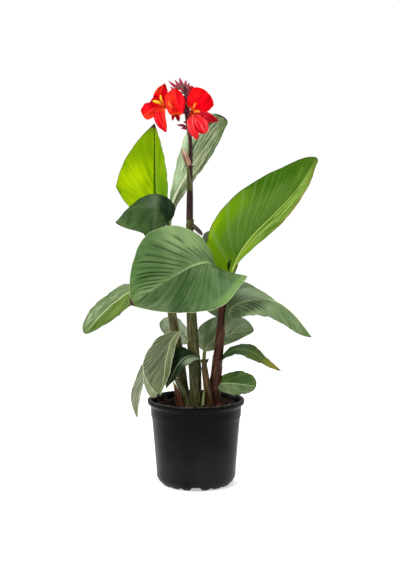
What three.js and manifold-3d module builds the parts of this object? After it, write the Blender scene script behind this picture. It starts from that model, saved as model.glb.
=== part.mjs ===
// A canna lily in its nursery pot: four leafy shoots, sixteen leaves and one raceme of red blooms.
// Millimetres, +Z up. The origin is the middle of the pot's underside, where it stands; the front faces -Y.
import * as THREE from "three";
import Module from "manifold-3d";

const wasm = await Module();
wasm.setup();

// Driving dimensions.
const gap = 0.3; // left between two pieces that touch
const pot = {
  height: 194,
  rimRadius: 110,
  lipWidth: 10, // how far the rolled lip stands out from the wall
  lipHeight: 9,
  wallTopRadius: 103.2,
  wallFootRadius: 89.6,
  stepHeight: 158, // stacking step, below the collar
  stepDepth: 1.6,
  skirtHeight: 17, // the rounded corner between wall and feet
  footRadius: 75,
  wall: 2.2,
  floorHeight: 8, // underside of the raised floor
  bossRadius: 14, // centre foot under the raised floor
  segments: 36,
};
const drains = { count: 5, width: 30, height: 9 };
const scallops = { perDrain: 2, width: 17, height: 5, spread: 21.6 };
const soil = { level: 178, relief: 3, rings: 3, seed: 7 };
const bladeThickness = 0.9;
const petalThickness = 0.8;
const tipFlattening = 60; // the power that keeps a blade's halves raised until just short of its tip

const colours = {
  pot: 0x1b1c1e,
  soil: 0x2a1e18,
  stemGreen: 0x4c4a2a,
  stemRed: 0x46261f,
  sheath: 0x8a5a38,
  spear: 0x9fb56a,
  bract: 0xb98f6a,
  leafBright: 0x8fbf12,
  leafFresh: 0x559a1e,
  leafMid: 0x4c7d3c,
  leafDark: 0x2f5540,
  leafPale: 0xa3b98c,
  leafGrey: 0x6f8565,
  wine: 0x6d1f33,
  bloom: 0xe3141b,
  stamen: 0xf6a21c,
};

const vector = (p) => new THREE.Vector3(...p);
const radians = THREE.MathUtils.degToRad;
const curveThrough = (points) =>
  new THREE.CatmullRomCurve3(points.map(vector), false, "catmullrom", 0.5);

// Repeatable draws for the soil's relief.
function seeded(seed) {
  let state = seed;
  return () => {
    state = (state * 16807) % 2147483647;
    return state / 2147483647;
  };
}

// ---- solids ----

function solidOf(vertices, triangles) {
  return new wasm.Manifold(
    new wasm.Mesh({
      numProp: 3,
      vertProperties: new Float32Array(vertices.flatMap((p) => [p.x, p.y, p.z])),
      triVerts: new Uint32Array(triangles.flat()),
    }),
  );
}

// A closed three.js geometry as a solid, with its shared vertices merged.
function solidFrom(geometry) {
  const position = geometry.getAttribute("position");
  const index = geometry.index ? [...geometry.index.array] : [...Array(position.count).keys()];
  const seen = new Map();
  const vertices = [];
  const merged = index.map((i) => {
    const p = [position.getX(i), position.getY(i), position.getZ(i)];
    const rounded = p.map((c) => Math.round(c * 1e4) / 1e4 + 0);
    const key = rounded.join(" ");
    if (!seen.has(key)) seen.set(key, vertices.push(vector(rounded)) - 1);
    return seen.get(key);
  });
  const triangles = [];
  for (let i = 0; i < merged.length; i += 3) {
    const [a, b, c] = merged.slice(i, i + 3);
    if (a !== b && b !== c && c !== a) triangles.push([a, b, c]);
  }
  return solidOf(vertices, triangles);
}

// The largest body of a solid: what a cut leaves loose on the far side is dropped.
function mainBody(solid) {
  const bodies = solid.decompose();
  return bodies.sort((a, b) => b.volume() - a.volume())[0];
}

function geometryOf(solid) {
  const mesh = solid.getMesh();
  const position = new THREE.BufferAttribute(new Float32Array(mesh.vertProperties), 3);
  return new THREE.BufferGeometry()
    .setAttribute("position", position)
    .setIndex(new THREE.BufferAttribute(new Uint32Array(mesh.triVerts), 1));
}

// A closed round sweep: the radii are spread evenly along the curve through the points.
function rod(points, radii, { sides = 8, steps = 12, grow = 0 } = {}) {
  const curve = curveThrough(points);
  const vertices = [];
  const triangles = [];
  const middle = curve.getTangentAt(0.5);
  const reference = Math.abs(middle.z) > 0.7 ? vector([1, 0, 0]) : vector([0, 0, 1]);
  for (let i = 0; i <= steps; i++) {
    const u = i / steps;
    const centre = curve.getPointAt(u);
    const tangent = curve.getTangentAt(u);
    const first = reference.clone().addScaledVector(tangent, -reference.dot(tangent)).normalize();
    const second = tangent.clone().cross(first);
    const place = u * (radii.length - 1);
    const k = Math.min(Math.floor(place), radii.length - 2);
    const radius = THREE.MathUtils.lerp(radii[k], radii[k + 1], place - k) + grow;
    for (let j = 0; j < sides; j++) {
      const turn = (2 * Math.PI * j) / sides;
      const out = first.clone().multiplyScalar(Math.cos(turn)).addScaledVector(second, Math.sin(turn));
      vertices.push(centre.clone().addScaledVector(out, radius));
    }
  }
  for (let i = 0; i < steps; i++)
    for (let j = 0; j < sides; j++) {
      const a = i * sides + j;
      const b = i * sides + ((j + 1) % sides);
      triangles.push([a, b, b + sides], [a, b + sides, a + sides]);
    }
  const foot = vertices.push(curve.getPointAt(0).addScaledVector(curve.getTangentAt(0), -grow)) - 1;
  const head = vertices.push(curve.getPointAt(1).addScaledVector(curve.getTangentAt(1), grow)) - 1;
  for (let j = 0; j < sides; j++) {
    const next = (j + 1) % sides;
    triangles.push([foot, next, j], [head, steps * sides + j, steps * sides + next]);
  }
  return solidOf(vertices, triangles);
}

// ---- blades: leaves, bracts and petals ----

// A value given at the blade's base, middle and tip, eased along its length.
const along3 = ([base, middle, tip], b) =>
  base * (1 - b) * (1 - 2 * b) + middle * 4 * b * (1 - b) + tip * b * (2 * b - 1);

// 0 to 1 width of a blade. Two powers set how round its base and its tip are; three values give the place of a
// corner and how sharply the margin turns below and above it.
function outline(b, ...shape) {
  if (shape.length === 3) {
    const [corner, below, above] = shape;
    const away = b < corner ? (corner - b) / corner : (b - corner) / (1 - corner);
    const turn = b < corner ? below : above;
    return 1 - away * (turn + (1 - turn) * away);
  }
  const [basePower, tipPower] = shape;
  const widest = basePower / (basePower + tipPower);
  const peak = widest ** basePower * (1 - widest) ** tipPower;
  return (b ** basePower * (1 - b) ** tipPower) / peak;
}

// How far along the blade proper, past the stalk, a place on the rib is.
const bladeShare = (blade, u) => Math.max(0, (u - blade.stalk) / (1 - blade.stalk));

function halfWidth(blade, u, right) {
  const b = bladeShare(blade, u);
  const stalkHalf = THREE.MathUtils.lerp(blade.stalkHalf, 0.4, Math.min(1, b * 1.6));
  const half = right ? blade.rightHalf : blade.leftHalf;
  const powers = (right ? blade.rightPowers : blade.leftPowers) ?? [blade.basePower, blade.tipPower];
  return Math.hypot(stalkHalf, half * outline(b, ...powers));
}

// How far the midrib's keel stands out under the blade at u.
const keelDepth = (blade, u) => blade.stalkDepth * (1 - bladeShare(blade, u)) ** 1.2 + 0.2;

// A point of the blade's middle surface. u runs along the rib; v runs from -1 at the left margin to 1 at the
// right one, seen from above with the tip ahead. The blade lies along "across", turned about its rib by "twist"
// degrees (right side up), and each half is raised by its lift and curled by "cup". It ends flat at the tip.
function bladePoint(blade, curve, u, v) {
  const b = bladeShare(blade, u);
  const tangent = curve.getTangentAt(u);
  const across = vector(blade.across);
  const side = across
    .addScaledVector(tangent, -across.dot(tangent))
    .normalize()
    .applyAxisAngle(tangent, -radians(along3(blade.twist, b)));
  const normal = side.clone().cross(tangent);
  const right = v >= 0;
  const part = Math.abs(v);
  const width = halfWidth(blade, u, right);
  const lift = radians(along3(right ? blade.rightLift : blade.leftLift, b)) * (1 - b ** tipFlattening);
  const curl = radians(blade.cup) + 1e-4;
  const start = lift - curl / 2;
  const end = start + curl * part;
  const out = (Math.sin(end) - Math.sin(start)) / curl;
  const up = (Math.cos(start) - Math.cos(end)) / curl;
  const phase = blade.wavePhase + (right ? 2 : 0);
  const ripple = Math.sin(Math.PI * b) * Math.sin(2 * Math.PI * blade.waves * b + phase);
  return curve
    .getPointAt(u)
    .addScaledVector(side, (right ? 1 : -1) * out * width)
    .addScaledVector(normal, up * width + blade.wave * part ** 2 * ripple);
}

const bladeDefaults = {
  stalk: 0.12, // share of the length that is petiole
  stalkHalf: 4,
  stalkDepth: 4,
  basePower: 0.6,
  tipPower: 1,
  twist: [0, 0, 0],
  leftLift: [8, 8, 8],
  rightLift: [8, 8, 8],
  cup: 0,
  wave: 2,
  waves: 2.5,
  wavePhase: 0,
  thickness: bladeThickness,
  stations: 11,
  columns: 3,
};

// Where the blade's cross-sections stand: few on the stalk, closer together at both ends of the blade.
function bladeStations({ stalk, stations }) {
  const places = [0, stalk * 0.55];
  for (let i = 0; i <= stations; i++) {
    const even = i / stations;
    const b = THREE.MathUtils.lerp(even, (1 - Math.cos(Math.PI * even)) / 2, 0.6);
    places.push(stalk + (1 - stalk) * b);
  }
  return places;
}

// The blade as one closed skin, with a keel under its rib.
function bladeSolid(given) {
  const blade = { ...bladeDefaults, ...given };
  const curve = curveThrough(blade.rib);
  const places = bladeStations(blade);
  const count = 2 * blade.columns + 1;
  const rows = places.map((u) =>
    [...Array(count).keys()].map((j) => {
      const k = j - blade.columns;
      const keel = Math.min(0.4, blade.stalkHalf / halfWidth(blade, u, k >= 0));
      const outer = keel + ((1 - keel) * (Math.abs(k) - 1)) / (blade.columns - 1);
      return bladePoint(blade, curve, u, k === 0 ? 0 : Math.sign(k) * outer);
    }),
  );
  const last = rows.length - 1;
  const top = [];
  const under = [];
  rows.forEach((row, i) =>
    row.forEach((point, j) => {
      const along = rows[Math.min(last, i + 1)][j].clone().sub(rows[Math.max(0, i - 1)][j]);
      const over = row[Math.min(count - 1, j + 1)].clone().sub(row[Math.max(0, j - 1)]);
      const normal = over.cross(along).normalize();
      const keel = j === blade.columns ? keelDepth(blade, places[i]) : 0;
      top.push(point.clone().addScaledVector(normal, blade.thickness / 2));
      under.push(point.clone().addScaledVector(normal, -blade.thickness / 2 - keel));
    }),
  );
  const offset = top.length;
  const triangles = [];
  const quad = (a, b, c, d) => triangles.push([a, b, c], [a, c, d]);
  for (let i = 0; i < last; i++)
    for (let j = 0; j < count - 1; j++) {
      const a = i * count + j;
      const c = a + 1 + count;
      // Both faces are split along the same diagonal, a to c.
      quad(a, a + 1, c, a + count);
      triangles.push([offset + a, offset + c, offset + a + 1], [offset + a, offset + a + count, offset + c]);
    }
  for (let i = 0; i < last; i++) {
    const a = i * count;
    const b = a + count - 1;
    quad(a, a + count, offset + a + count, offset + a);
    quad(b + count, b, offset + b, offset + b + count);
  }
  for (let j = 0; j < count - 1; j++) {
    const end = last * count + j;
    quad(j + 1, j, offset + j, offset + j + 1);
    quad(end, end + 1, offset + end + 1, offset + end);
  }
  return solidOf([...top, ...under], triangles);
}

// ---- shoots ----

// Points from below the soil's surface upwards; the radii are spread along them.
const shoots = {
  stem_flowering: {
    colour: colours.stemGreen,
    points: [
      [1, -12, 135], [0, -12, 183], [-3, -12, 277], [-10, -10, 388], [-13, -6, 491],
      [-14, -4, 600], [-13, -2, 700], [-12, 0, 760], [-14, 0, 790],
    ],
    radii: [13, 13, 12.5, 11.5, 9.5, 8.4, 8, 7.4, 5, 4.2],
    steps: 16,
  },
  stem_left: {
    colour: colours.stemGreen,
    points: [[-18, 16, 135], [-24, 14, 180], [-34, 12, 262], [-53, 14, 381], [-64, 18, 490], [-70, 20, 566]],
    radii: [10, 10.5, 10.5, 10, 8.5, 6.5, 5],
    steps: 12,
  },
  stem_right: {
    colour: colours.stemRed,
    points: [[36, 4, 135], [39, 2, 190], [47.5, 0, 270], [55, 0, 345], [62, 4, 430], [76, 6, 478]],
    radii: [16.5, 16, 12, 10, 9, 8, 7],
    steps: 12,
  },
  stem_side: {
    colour: colours.stemRed,
    points: [[28, -23, 140], [28, -24, 184], [24, -26, 235], [17, -26, 288]],
    radii: [8.5, 8.5, 7.2, 5.5],
    steps: 6,
  },
  shoot_young: {
    colour: colours.sheath,
    points: [[-34, -26, 145], [-36, -27, 183], [-42, -31, 210], [-51, -34, 239]],
    radii: [8.5, 8.5, 7.5, 4.5, 1.2],
    steps: 6,
  },
  shoot_slanting: {
    colour: colours.stemGreen,
    points: [[-19, -19, 145], [-21, -20, 182], [-30, -23, 212], [-46, -27, 244]],
    radii: [5.8, 5.8, 6.4, 4],
    steps: 6,
  },
  shoot_spear: {
    colour: colours.spear,
    points: [[15, -40, 150], [16, -40, 190], [19, -39, 222]],
    radii: [3.6, 3.8, 2.6, 0.8],
    steps: 4,
  },
};

const stem = (name, grow = 0) =>
  rod(shoots[name].points, shoots[name].radii, { steps: shoots[name].steps, grow });

// ---- leaves ----

// Each rib starts on the axis of the shoot that carries it and ends at the tip.
const leaves = {
  leaf_upper_left: {
    on: "stem_left",
    colour: colours.leafBright,
    rib: [[-71, 20, 560], [-86, 22, 597], [-93, 28, 650], [-94, 32, 712], [-94, 32, 767], [-93, 28, 815]],
    across: [-1, 0, 0],
    leftHalf: 74,
    rightHalf: 89,
    leftLift: [60, 69, 60],
    rightLift: [14, 8, 5],
    leftPowers: [0.9, 1.35],
    rightPowers: [0.39, 0.35, 0.3],
  },
  leaf_arching_left: {
    on: "stem_left",
    colour: colours.leafDark,
    rib: [
      [-66, 18, 515], [-61, 0, 556], [-63, -24, 592], [-80, -42, 616],
      [-108, -58, 626], [-143, -74, 619], [-174, -86, 596],
    ],
    across: [0, 1, 0],
    stalk: 0.38,
    leftHalf: 78,
    rightHalf: 52,
    leftPowers: [0.7, 0.65],
    rightPowers: [0.5, 1.3],
    twist: [20, 62, 60],
    leftLift: [0, 0, 0],
    rightLift: [45, -40, -45],
  },
  leaf_front_large: {
    on: "stem_right",
    colour: colours.leafMid,
    rib: [
      [61, 4, 425], [47, -22, 477], [29, -52, 506], [-4, -86, 504],
      [-40, -125, 487], [-86, -168, 459], [-135, -205, 430],
    ],
    across: [-0.95, 0.3, 0],
    stalk: 0.18,
    leftHalf: 110,
    rightHalf: 107,
    leftPowers: [0.29, 0.88],
    rightPowers: [1.1, 0.92],
    twist: [82, 66, 56],
    leftLift: [75, 0, 0],
    rightLift: [0, 0, 0],
    stations: 14,
    columns: 4,
  },
  leaf_upper_rear: {
    on: "stem_left",
    colour: colours.leafPale,
    rib: [
      [-66, 20, 540], [-60, 30, 592], [-50, 44, 645], [-17, 58, 706],
      [14, 68, 752], [43, 78, 798], [66, 86, 831],
    ],
    across: [-0.85, 0, 0.5],
    leftHalf: 64,
    rightHalf: 75,
    leftPowers: [1.2, 0.6],
    rightPowers: [2, 0.55],
    leftLift: [58, 71, 66],
    rightLift: [45, 46, 35],
  },
  leaf_tall_right: {
    on: "stem_right",
    colour: colours.leafFresh,
    rib: [
      [70, 6, 456], [85, 0, 495], [100, -8, 528], [130, -16, 569],
      [184, -24, 623], [231, -26, 677], [267, -20, 737],
    ],
    across: [0.74, -0.2, -0.67],
    stalk: 0.07,
    stalkHalf: 8,
    leftHalf: 91,
    rightHalf: 96,
    leftLift: [10, 5, 0],
    rightLift: [66, 68, 77],
    leftPowers: [0.32, 0.6],
    rightPowers: [1.2, 0.9],
    stations: 12,
    columns: 4,
  },
  leaf_drooping_right: {
    on: "stem_right",
    colour: colours.leafGrey,
    rib: [
      [55, 0, 338], [69, -10, 379], [81, -16, 404], [109, -26, 418], [147, -40, 425],
      [179, -52, 420], [212, -64, 396], [236, -72, 368], [253, -78, 345],
    ],
    across: [-0.3, -0.9, 0],
    leftHalf: 90,
    rightHalf: 63,
    leftPowers: [0.25, 1],
    rightPowers: [0.35, 0.6],
    leftLift: [88, -13, -25],
    rightLift: [-25, -30, -30],
    stations: 12,
  },
  leaf_low_rear_right: {
    on: "stem_side",
    colour: colours.leafDark,
    rib: [
      [18, -26, 276], [20, -4, 303], [32, 20, 318], [55, 32, 329],
      [82, 40, 336], [108, 46, 342], [133, 52, 343],
    ],
    across: [0.3, -0.9, 0],
    stalk: 0.2,
    leftHalf: 48,
    rightHalf: 21,
    twist: [-70, -72, -70],
    leftLift: [5, 5, 5],
    rightLift: [5, 5, 5],
    basePower: 0.45,
    tipPower: 0.6,
  },
  leaf_far_left: {
    on: "stem_left",
    colour: colours.leafGrey,
    rib: [
      [-57, 15, 405], [-104, 0, 443], [-147, -15, 438], [-174, -25, 421],
      [-194, -32, 405], [-223, -42, 375], [-246, -50, 349],
    ],
    across: [-0.25, 0.95, 0],
    leftHalf: 54,
    rightHalf: 52,
    twist: [28, 28, 28],
    leftPowers: [0.6, 0.66],
    rightPowers: [0.7, 0.5],
    rightLift: [-14, -10, -4],
  },
  leaf_rear_left: {
    on: "stem_flowering",
    colour: colours.leafPale,
    rib: [[-4, -12, 284], [-7, 12, 304], [-17, 38, 322], [-38, 56, 338], [-62, 66, 350], [-85, 72, 356]],
    across: [0, -0.2, 1],
    stalk: 0.4,
    leftHalf: 29,
    rightHalf: 31,
    basePower: 0.6,
    tipPower: 0.6,
  },
  leaf_hanging_left: {
    on: "stem_flowering",
    colour: colours.leafGrey,
    rib: [
      [-6, -11, 318], [-31, -28, 350], [-45, -42, 345], [-56, -56, 332],
      [-61, -68, 314], [-66, -78, 294], [-70, -86, 260], [-78, -90, 217],
    ],
    across: [-1, 0.2, 0],
    leftHalf: 15,
    rightHalf: 52,
    leftPowers: [1.3, 1.2],
    rightPowers: [1.4, 0.8],
    leftLift: [-20, -30, -30],
    rightLift: [-5, -5, -5],
  },
  leaf_hanging_inner: {
    on: "stem_left",
    colour: colours.leafMid,
    rib: [
      [-36, 13, 262], [-62, -8, 304], [-86, -32, 304],
      [-98, -44, 276], [-98, -50, 237], [-94, -52, 204],
    ],
    across: [-0.8, 0.5, 0],
    leftHalf: 21,
    rightHalf: 21,
    basePower: 1,
    tipPower: 0.5,
    stations: 8,
    columns: 2,
  },
  leaf_hanging_outer: {
    on: "stem_left",
    colour: colours.leafPale,
    rib: [
      [-42, 13, 296], [-71, 4, 310], [-91, -4, 298], [-103, -12, 272],
      [-116, -18, 243], [-127, -24, 206], [-133, -26, 155],
    ],
    across: [-0.7, 0.6, 0],
    leftHalf: 20,
    rightHalf: 20,
    leftLift: [45, 45, 45],
    rightLift: [45, 45, 45],
    basePower: 1.2,
    tipPower: 0.8,
    stations: 8,
    columns: 2,
  },
  leaf_low_left: {
    on: "stem_side",
    colour: colours.leafDark,
    rib: [
      [18, -26, 280], [2, -42, 296], [-15, -52, 299], [-31, -56, 291],
      [-44, -60, 274], [-55, -62, 252], [-66, -64, 228],
    ],
    across: [-0.69, 0.58, 0.26],
    leftHalf: 17,
    rightHalf: 34,
    leftLift: [-30, -30, -30],
    rightLift: [10, 10, 10],
    stations: 8,
    columns: 2,
  },
  leaf_narrow_right: {
    on: "stem_right",
    colour: colours.leafDark,
    rib: [
      [47, 0, 262], [59, -10, 288], [74, -18, 303], [94, -26, 311],
      [116, -34, 309], [138, -42, 298], [162, -48, 281], [190, -52, 265],
    ],
    across: [-0.3, -0.81, -0.25],
    leftHalf: 22,
    rightHalf: 24,
    leftLift: [10, 10, 10],
    rightLift: [-10, -10, -10],
    stations: 10,
    columns: 2,
  },
  leaf_round_right: {
    on: "stem_right",
    colour: colours.leafFresh,
    rib: [[42, 1, 218], [55, -10, 229], [73, -20, 232], [98, -32, 232], [122, -42, 231], [134, -46, 230]],
    across: [-0.26, -0.585, -0.635],
    leftHalf: 33,
    rightHalf: 33,
    basePower: 0.5,
    tipPower: 0.45,
    stations: 10,
  },
  leaf_rear_middle: {
    on: "stem_right",
    colour: colours.leafGrey,
    rib: [[65, 5, 448], [63, 28, 490], [51, 48, 534], [26, 66, 570]],
    across: [0.8, 0.4, 0],
    leftHalf: 42,
    rightHalf: 42,
    tipPower: 0.5,
    stations: 9,
    columns: 2,
  },
};

// ---- pot and soil ----

function potSolid() {
  const { height, rimRadius, wallTopRadius, wallFootRadius, stepHeight, stepDepth } = pot;
  const { skirtHeight, footRadius, wall, floorHeight, bossRadius, lipWidth, lipHeight } = pot;
  const lipBase = height - lipHeight;
  const collarTop = lipBase - 8;
  const wallAt = (z) =>
    THREE.MathUtils.lerp(wallFootRadius, wallTopRadius, (z - skirtHeight) / (collarTop - skirtHeight));
  const cornerRadius = (footRadius + wallFootRadius) / 2 + 2.5;
  const profile = [
    [0, 0],
    [bossRadius, 0],
    [bossRadius + 3, floorHeight],
    [footRadius - 2.5 * wall, floorHeight],
    [footRadius - wall, 0],
    [footRadius, 0],
    [cornerRadius, skirtHeight * 0.42],
    [wallFootRadius, skirtHeight],
    [wallAt(stepHeight - 2) - stepDepth / 2, stepHeight - 2],
    [wallAt(stepHeight) + stepDepth / 2, stepHeight],
    [wallTopRadius, collarTop],
    [rimRadius - 1, lipBase],
    [rimRadius, height - 3],
    [rimRadius - 2.5, height],
    [rimRadius - lipWidth * 0.75, height],
    [wallTopRadius - wall, collarTop],
    [wallAt(stepHeight - 4) - wall - stepDepth, stepHeight - 4],
    [wallFootRadius - wall, skirtHeight],
    [cornerRadius - wall, floorHeight + wall + 1],
    [0, floorHeight + wall + 1],
  ];
  const section = profile.map(([r, z]) => new THREE.Vector2(r, z));
  const lathe = new THREE.LatheGeometry(section, pot.segments);
  lathe.rotateX(Math.PI / 2);
  return cutFeet(solidFrom(lathe));
}

// Drain arches, with smaller scallops between them, leave the pot standing on a ring of feet.
function cutFeet(solid) {
  const step = 360 / drains.count;
  let cut = solid;
  for (let i = 0; i < drains.count; i++) {
    cut = cut.subtract(archCutter(i * step, drains.width, drains.height));
    for (let j = 0; j < scallops.perDrain; j++) {
      const turn = (i + 0.5) * step + (j - (scallops.perDrain - 1) / 2) * scallops.spread;
      cut = cut.subtract(archCutter(turn, scallops.width, scallops.height));
    }
  }
  return cut;
}

// An arch-shaped bar from inside the skirt to outside the wall, pointing at "turn" degrees from the front.
function archCutter(turn, width, height) {
  const shape = new THREE.Shape();
  shape.moveTo(-width / 2, -1);
  shape.lineTo(width / 2, -1);
  shape.quadraticCurveTo(width * 0.36, height, width * 0.15, height);
  shape.lineTo(-width * 0.15, height);
  shape.quadraticCurveTo(-width * 0.36, height, -width / 2, -1);
  const arch = new THREE.ExtrudeGeometry(shape, { depth: 40, bevelEnabled: false, curveSegments: 3 });
  arch.rotateX(Math.PI / 2);
  arch.translate(0, -(pot.footRadius - 12), 0);
  arch.rotateZ(radians(turn));
  return solidFrom(arch);
}

// The mix fills the pot to its level; its top is lumpy, and the shoots stand in plain holes.
function soilSolid(holes) {
  const bottom = pot.skirtHeight + 1;
  const clear = 1.2;
  const topRadius = pot.wallTopRadius - pot.wall - clear - 1.4;
  const footRadius = pot.wallFootRadius - pot.wall - pot.stepDepth - clear;
  const random = seeded(soil.seed);
  const { segments } = pot;
  const vertices = [vector([0, 0, soil.level])];
  const ring = (radius, height) => {
    for (let j = 0; j < segments; j++) {
      const turn = (2 * Math.PI * j) / segments;
      vertices.push(vector([radius * Math.cos(turn), radius * Math.sin(turn), height()]));
    }
  };
  for (let i = 1; i < soil.rings; i++)
    ring((topRadius * i) / soil.rings, () => soil.level + soil.relief * (random() * 2 - 1));
  ring(topRadius, () => soil.level - 1);
  ring(footRadius, () => bottom);
  const centre = vertices.push(vector([0, 0, bottom])) - 1;
  const foot = 1 + soil.rings * segments;
  const triangles = [];
  for (let j = 0; j < segments; j++) {
    const next = (j + 1) % segments;
    triangles.push([0, 1 + j, 1 + next], [centre, foot + next, foot + j]);
    for (let i = 0; i < soil.rings; i++) {
      const a = 1 + i * segments;
      const b = a + segments;
      triangles.push([a + j, b + j, b + next], [a + j, b + next, a + next]);
    }
  }
  return holes.reduce((mix, hole) => mix.subtract(hole), solidOf(vertices, triangles));
}

// ---- raceme ----

const rachis = {
  points: [[-13.5, 0, 784], [-16, 0, 803], [-19, 1, 829], [-20, 2, 856], [-22, 3, 882], [-26, 3, 894]],
  radii: [4.4, 5, 6.4, 6, 2.6],
};

// Buds and spent ovaries: where each leaves the rachis, its bend, its tip and its thickness.
const buds = [
  { rib: [[-25, 3, 886], [-44, -2, 893], [-61, -6, 906]], radius: 3.8 },
  { rib: [[-25, 3, 888], [-38, 4, 897], [-47, 4, 909]], radius: 3.6 },
  { rib: [[-25, 3, 890], [-32, 4, 901], [-37, 4, 914]], radius: 4 },
  { rib: [[-25, 3, 888], [-24, 6, 897], [-22, 7, 909]], radius: 3.6 },
  { rib: [[-24, 3, 886], [-18, 5, 894], [-15, 5, 903]], radius: 3.6 },
  { rib: [[-23, 2, 878], [-42, -6, 883], [-58, -11, 893]], radius: 3.6 },
  { rib: [[-23, 2, 880], [-30, -8, 886], [-37, -14, 891]], radius: 3.4 },
  { rib: [[-22, 2, 876], [-16, -8, 883], [-12, -12, 890]], radius: 3.2 },
  { rib: [[-16, 0, 803], [-29, -8, 808], [-43, -12, 809]], radius: 3.4 },
  { rib: [[-16, 0, 800], [-25, -12, 802], [-33, -17, 801]], radius: 3.6 },
  { rib: [[-18, 0, 812], [-23, -7, 815], [-28, -10, 816]], radius: 3 },
];

// Each bloom stands on an ovary ("base") that springs from the rachis at "node". Its petals are blades.
const blooms = {
  bloom_left: {
    node: [-19, 1, 834],
    base: [-50, -8, 842],
    throat: [-68, -15, 849],
    petals: [
      {
        rib: [[-66, -15, 848], [-76, -27, 862], [-74, -33, 880], [-68, -30, 898]],
        across: [1, 0, 0],
        half: 17,
        basePower: 0.45,
        tipPower: 0.8,
      },
      {
        rib: [[-66, -15, 848], [-89, -30, 846], [-104, -36, 838], [-117, -33, 830]],
        across: [0.3, 0, 1],
        half: 18,
        tipPower: 0.3,
      },
      {
        rib: [[-66, -15, 848], [-80, -29, 857], [-94, -35, 867]],
        across: [0.7, 0, 0.7],
        half: 16,
        tipPower: 0.25,
      },
      {
        rib: [[-66, -15, 848], [-79, -30, 832], [-76, -37, 814], [-65, -33, 792]],
        across: [-1, 0, 0],
        half: 13,
        basePower: 0.6,
        tipPower: 0.8,
      },
      { rib: [[-66, -15, 848], [-61, -16, 864], [-57, -15, 881]], across: [1, 0, 0], half: 9, tipPower: 0.8 },
    ],
    stamens: [
      { rib: [[-71, -27, 851], [-80, -43, 856], [-94, -50, 859]], across: [0, 0, 1], half: 3 },
      { rib: [[-71, -28, 856], [-76, -42, 863], [-77, -45, 872]], across: [1, 0, 0], half: 2.4 },
    ],
  },
  bloom_centre: {
    node: [-20, 2, 842],
    base: [-34, -18, 836],
    throat: [-41, -33, 837],
    petals: [
      {
        rib: [[-42, -31, 826], [-43, -50, 838], [-45, -58, 862], [-46, -52, 885]],
        across: [1, 0, 0],
        half: 21,
        basePower: 0.5,
      },
      {
        rib: [[-41, -31, 835], [-51, -44, 846], [-57, -50, 860], [-58, -46, 876]],
        across: [1, 0.4, 0],
        half: 11,
        tipPower: 0.6,
      },
      { rib: [[-41, -31, 835], [-40, -42, 827], [-37, -42, 815]], across: [-1, 0, 0], half: 5, tipPower: 0.8 },
      { rib: [[-41, -31, 835], [-49, -40, 828], [-51, -41, 817]], across: [-1, 0, 0], half: 4, tipPower: 0.8 },
    ],
    stamens: [{ rib: [[-50, -60, 844], [-57, -65, 850], [-60, -67, 858]], across: [1, 0, 0], half: 2.2 }],
  },
  bloom_right: {
    node: [-18, 1, 822],
    base: [-12, -10, 834],
    throat: [-8, -20, 840],
    petals: [
      {
        rib: [[-8, -18, 838], [-2, -38, 848], [11, -46, 862], [26, -40, 877]],
        across: [0.8, 0, -0.6],
        half: 30,
        basePower: 0.7,
        tipPower: 0.35,
      },
      {
        rib: [[-8, -18, 838], [10, -38, 829], [28, -46, 822], [49, -44, 817]],
        across: [0, 0, -1],
        half: 12,
        basePower: 0.7,
        tipPower: 0.8,
      },
      {
        rib: [[-8, -18, 838], [4, -40, 820], [13, -50, 805], [20, -48, 789]],
        across: [-0.8, 0, -0.6],
        half: 15,
      },
      {
        rib: [[-8, -18, 838], [-10, -38, 818], [-5, -46, 796], [3, -42, 776]],
        across: [-1, 0, -0.2],
        half: 11,
        tipPower: 0.7,
      },
    ],
    stamens: [
      { rib: [[-6, -34, 843], [-4, -46, 848], [0, -52, 855]], across: [0.8, 0, -0.6], half: 2.4 },
      { rib: [[-5, -35, 837], [3, -46, 837], [9, -52, 835]], across: [0, 0, -1], half: 2.4 },
    ],
  },
  bloom_rear: {
    node: [-21, 3, 862],
    base: [-17, 10, 868],
    throat: [-15, 14, 872],
    petals: [
      { rib: [[-16, 12, 868], [-21, 18, 883], [-24, 16, 895]], across: [1, 0, 0], half: 7, stations: 4 },
      { rib: [[-16, 12, 868], [-12, 20, 883], [-9, 18, 897]], across: [1, 0, 0], half: 7, stations: 4 },
      { rib: [[-16, 12, 868], [-4, 18, 879], [2, 16, 890]], across: [1, 0, -0.5], half: 7, stations: 4 },
    ],
    stamens: [],
  },
};

const petalShape = {
  stalk: 0.1,
  stalkHalf: 2.2,
  stalkDepth: 0.8,
  basePower: 0.9,
  tipPower: 0.45,
  leftLift: [20, 0, -10],
  rightLift: [20, 0, -10],
  wave: 2.4,
  waves: 1.7,
  thickness: petalThickness,
  stations: 5,
  columns: 2,
};
const stamenShape = { ...petalShape, basePower: 0.4, tipPower: 0.4, wave: 0.5, stations: 3 };

const petalSolid = (petal, shape) =>
  bladeSolid({ ...shape, leftHalf: petal.half, rightHalf: petal.half, ...petal });

function bloomSolid({ base, throat, petals }) {
  const tube = rod([base, throat], [3, 3.4, 4.4], { sides: 6, steps: 2 });
  return petals.reduce((joined, petal) => joined.add(petalSolid(petal, petalShape)), tube);
}

function stamenSolid({ stamens }) {
  return stamens.map((s) => petalSolid(s, stamenShape)).reduce((joined, blade) => joined.add(blade));
}

// The rachis with its pedicels, ovaries and pointed buds, all one growth.
function racemeSolid(grow = 0) {
  let joined = rod(rachis.points, rachis.radii, { sides: 7, steps: 6, grow });
  for (const { rib, radius } of buds) {
    const radii = [1.6, radius * 0.9, radius, radius * 0.8, 1];
    joined = joined.add(rod(rib, radii, { sides: 5, steps: 4, grow }));
  }
  for (const { node, base } of Object.values(blooms))
    joined = joined.add(rod([node, base], [2.2, 2.2, 4.2, 4.8, 3.4], { sides: 5, steps: 4, grow }));
  return joined;
}

// ---- bracts ----

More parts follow.
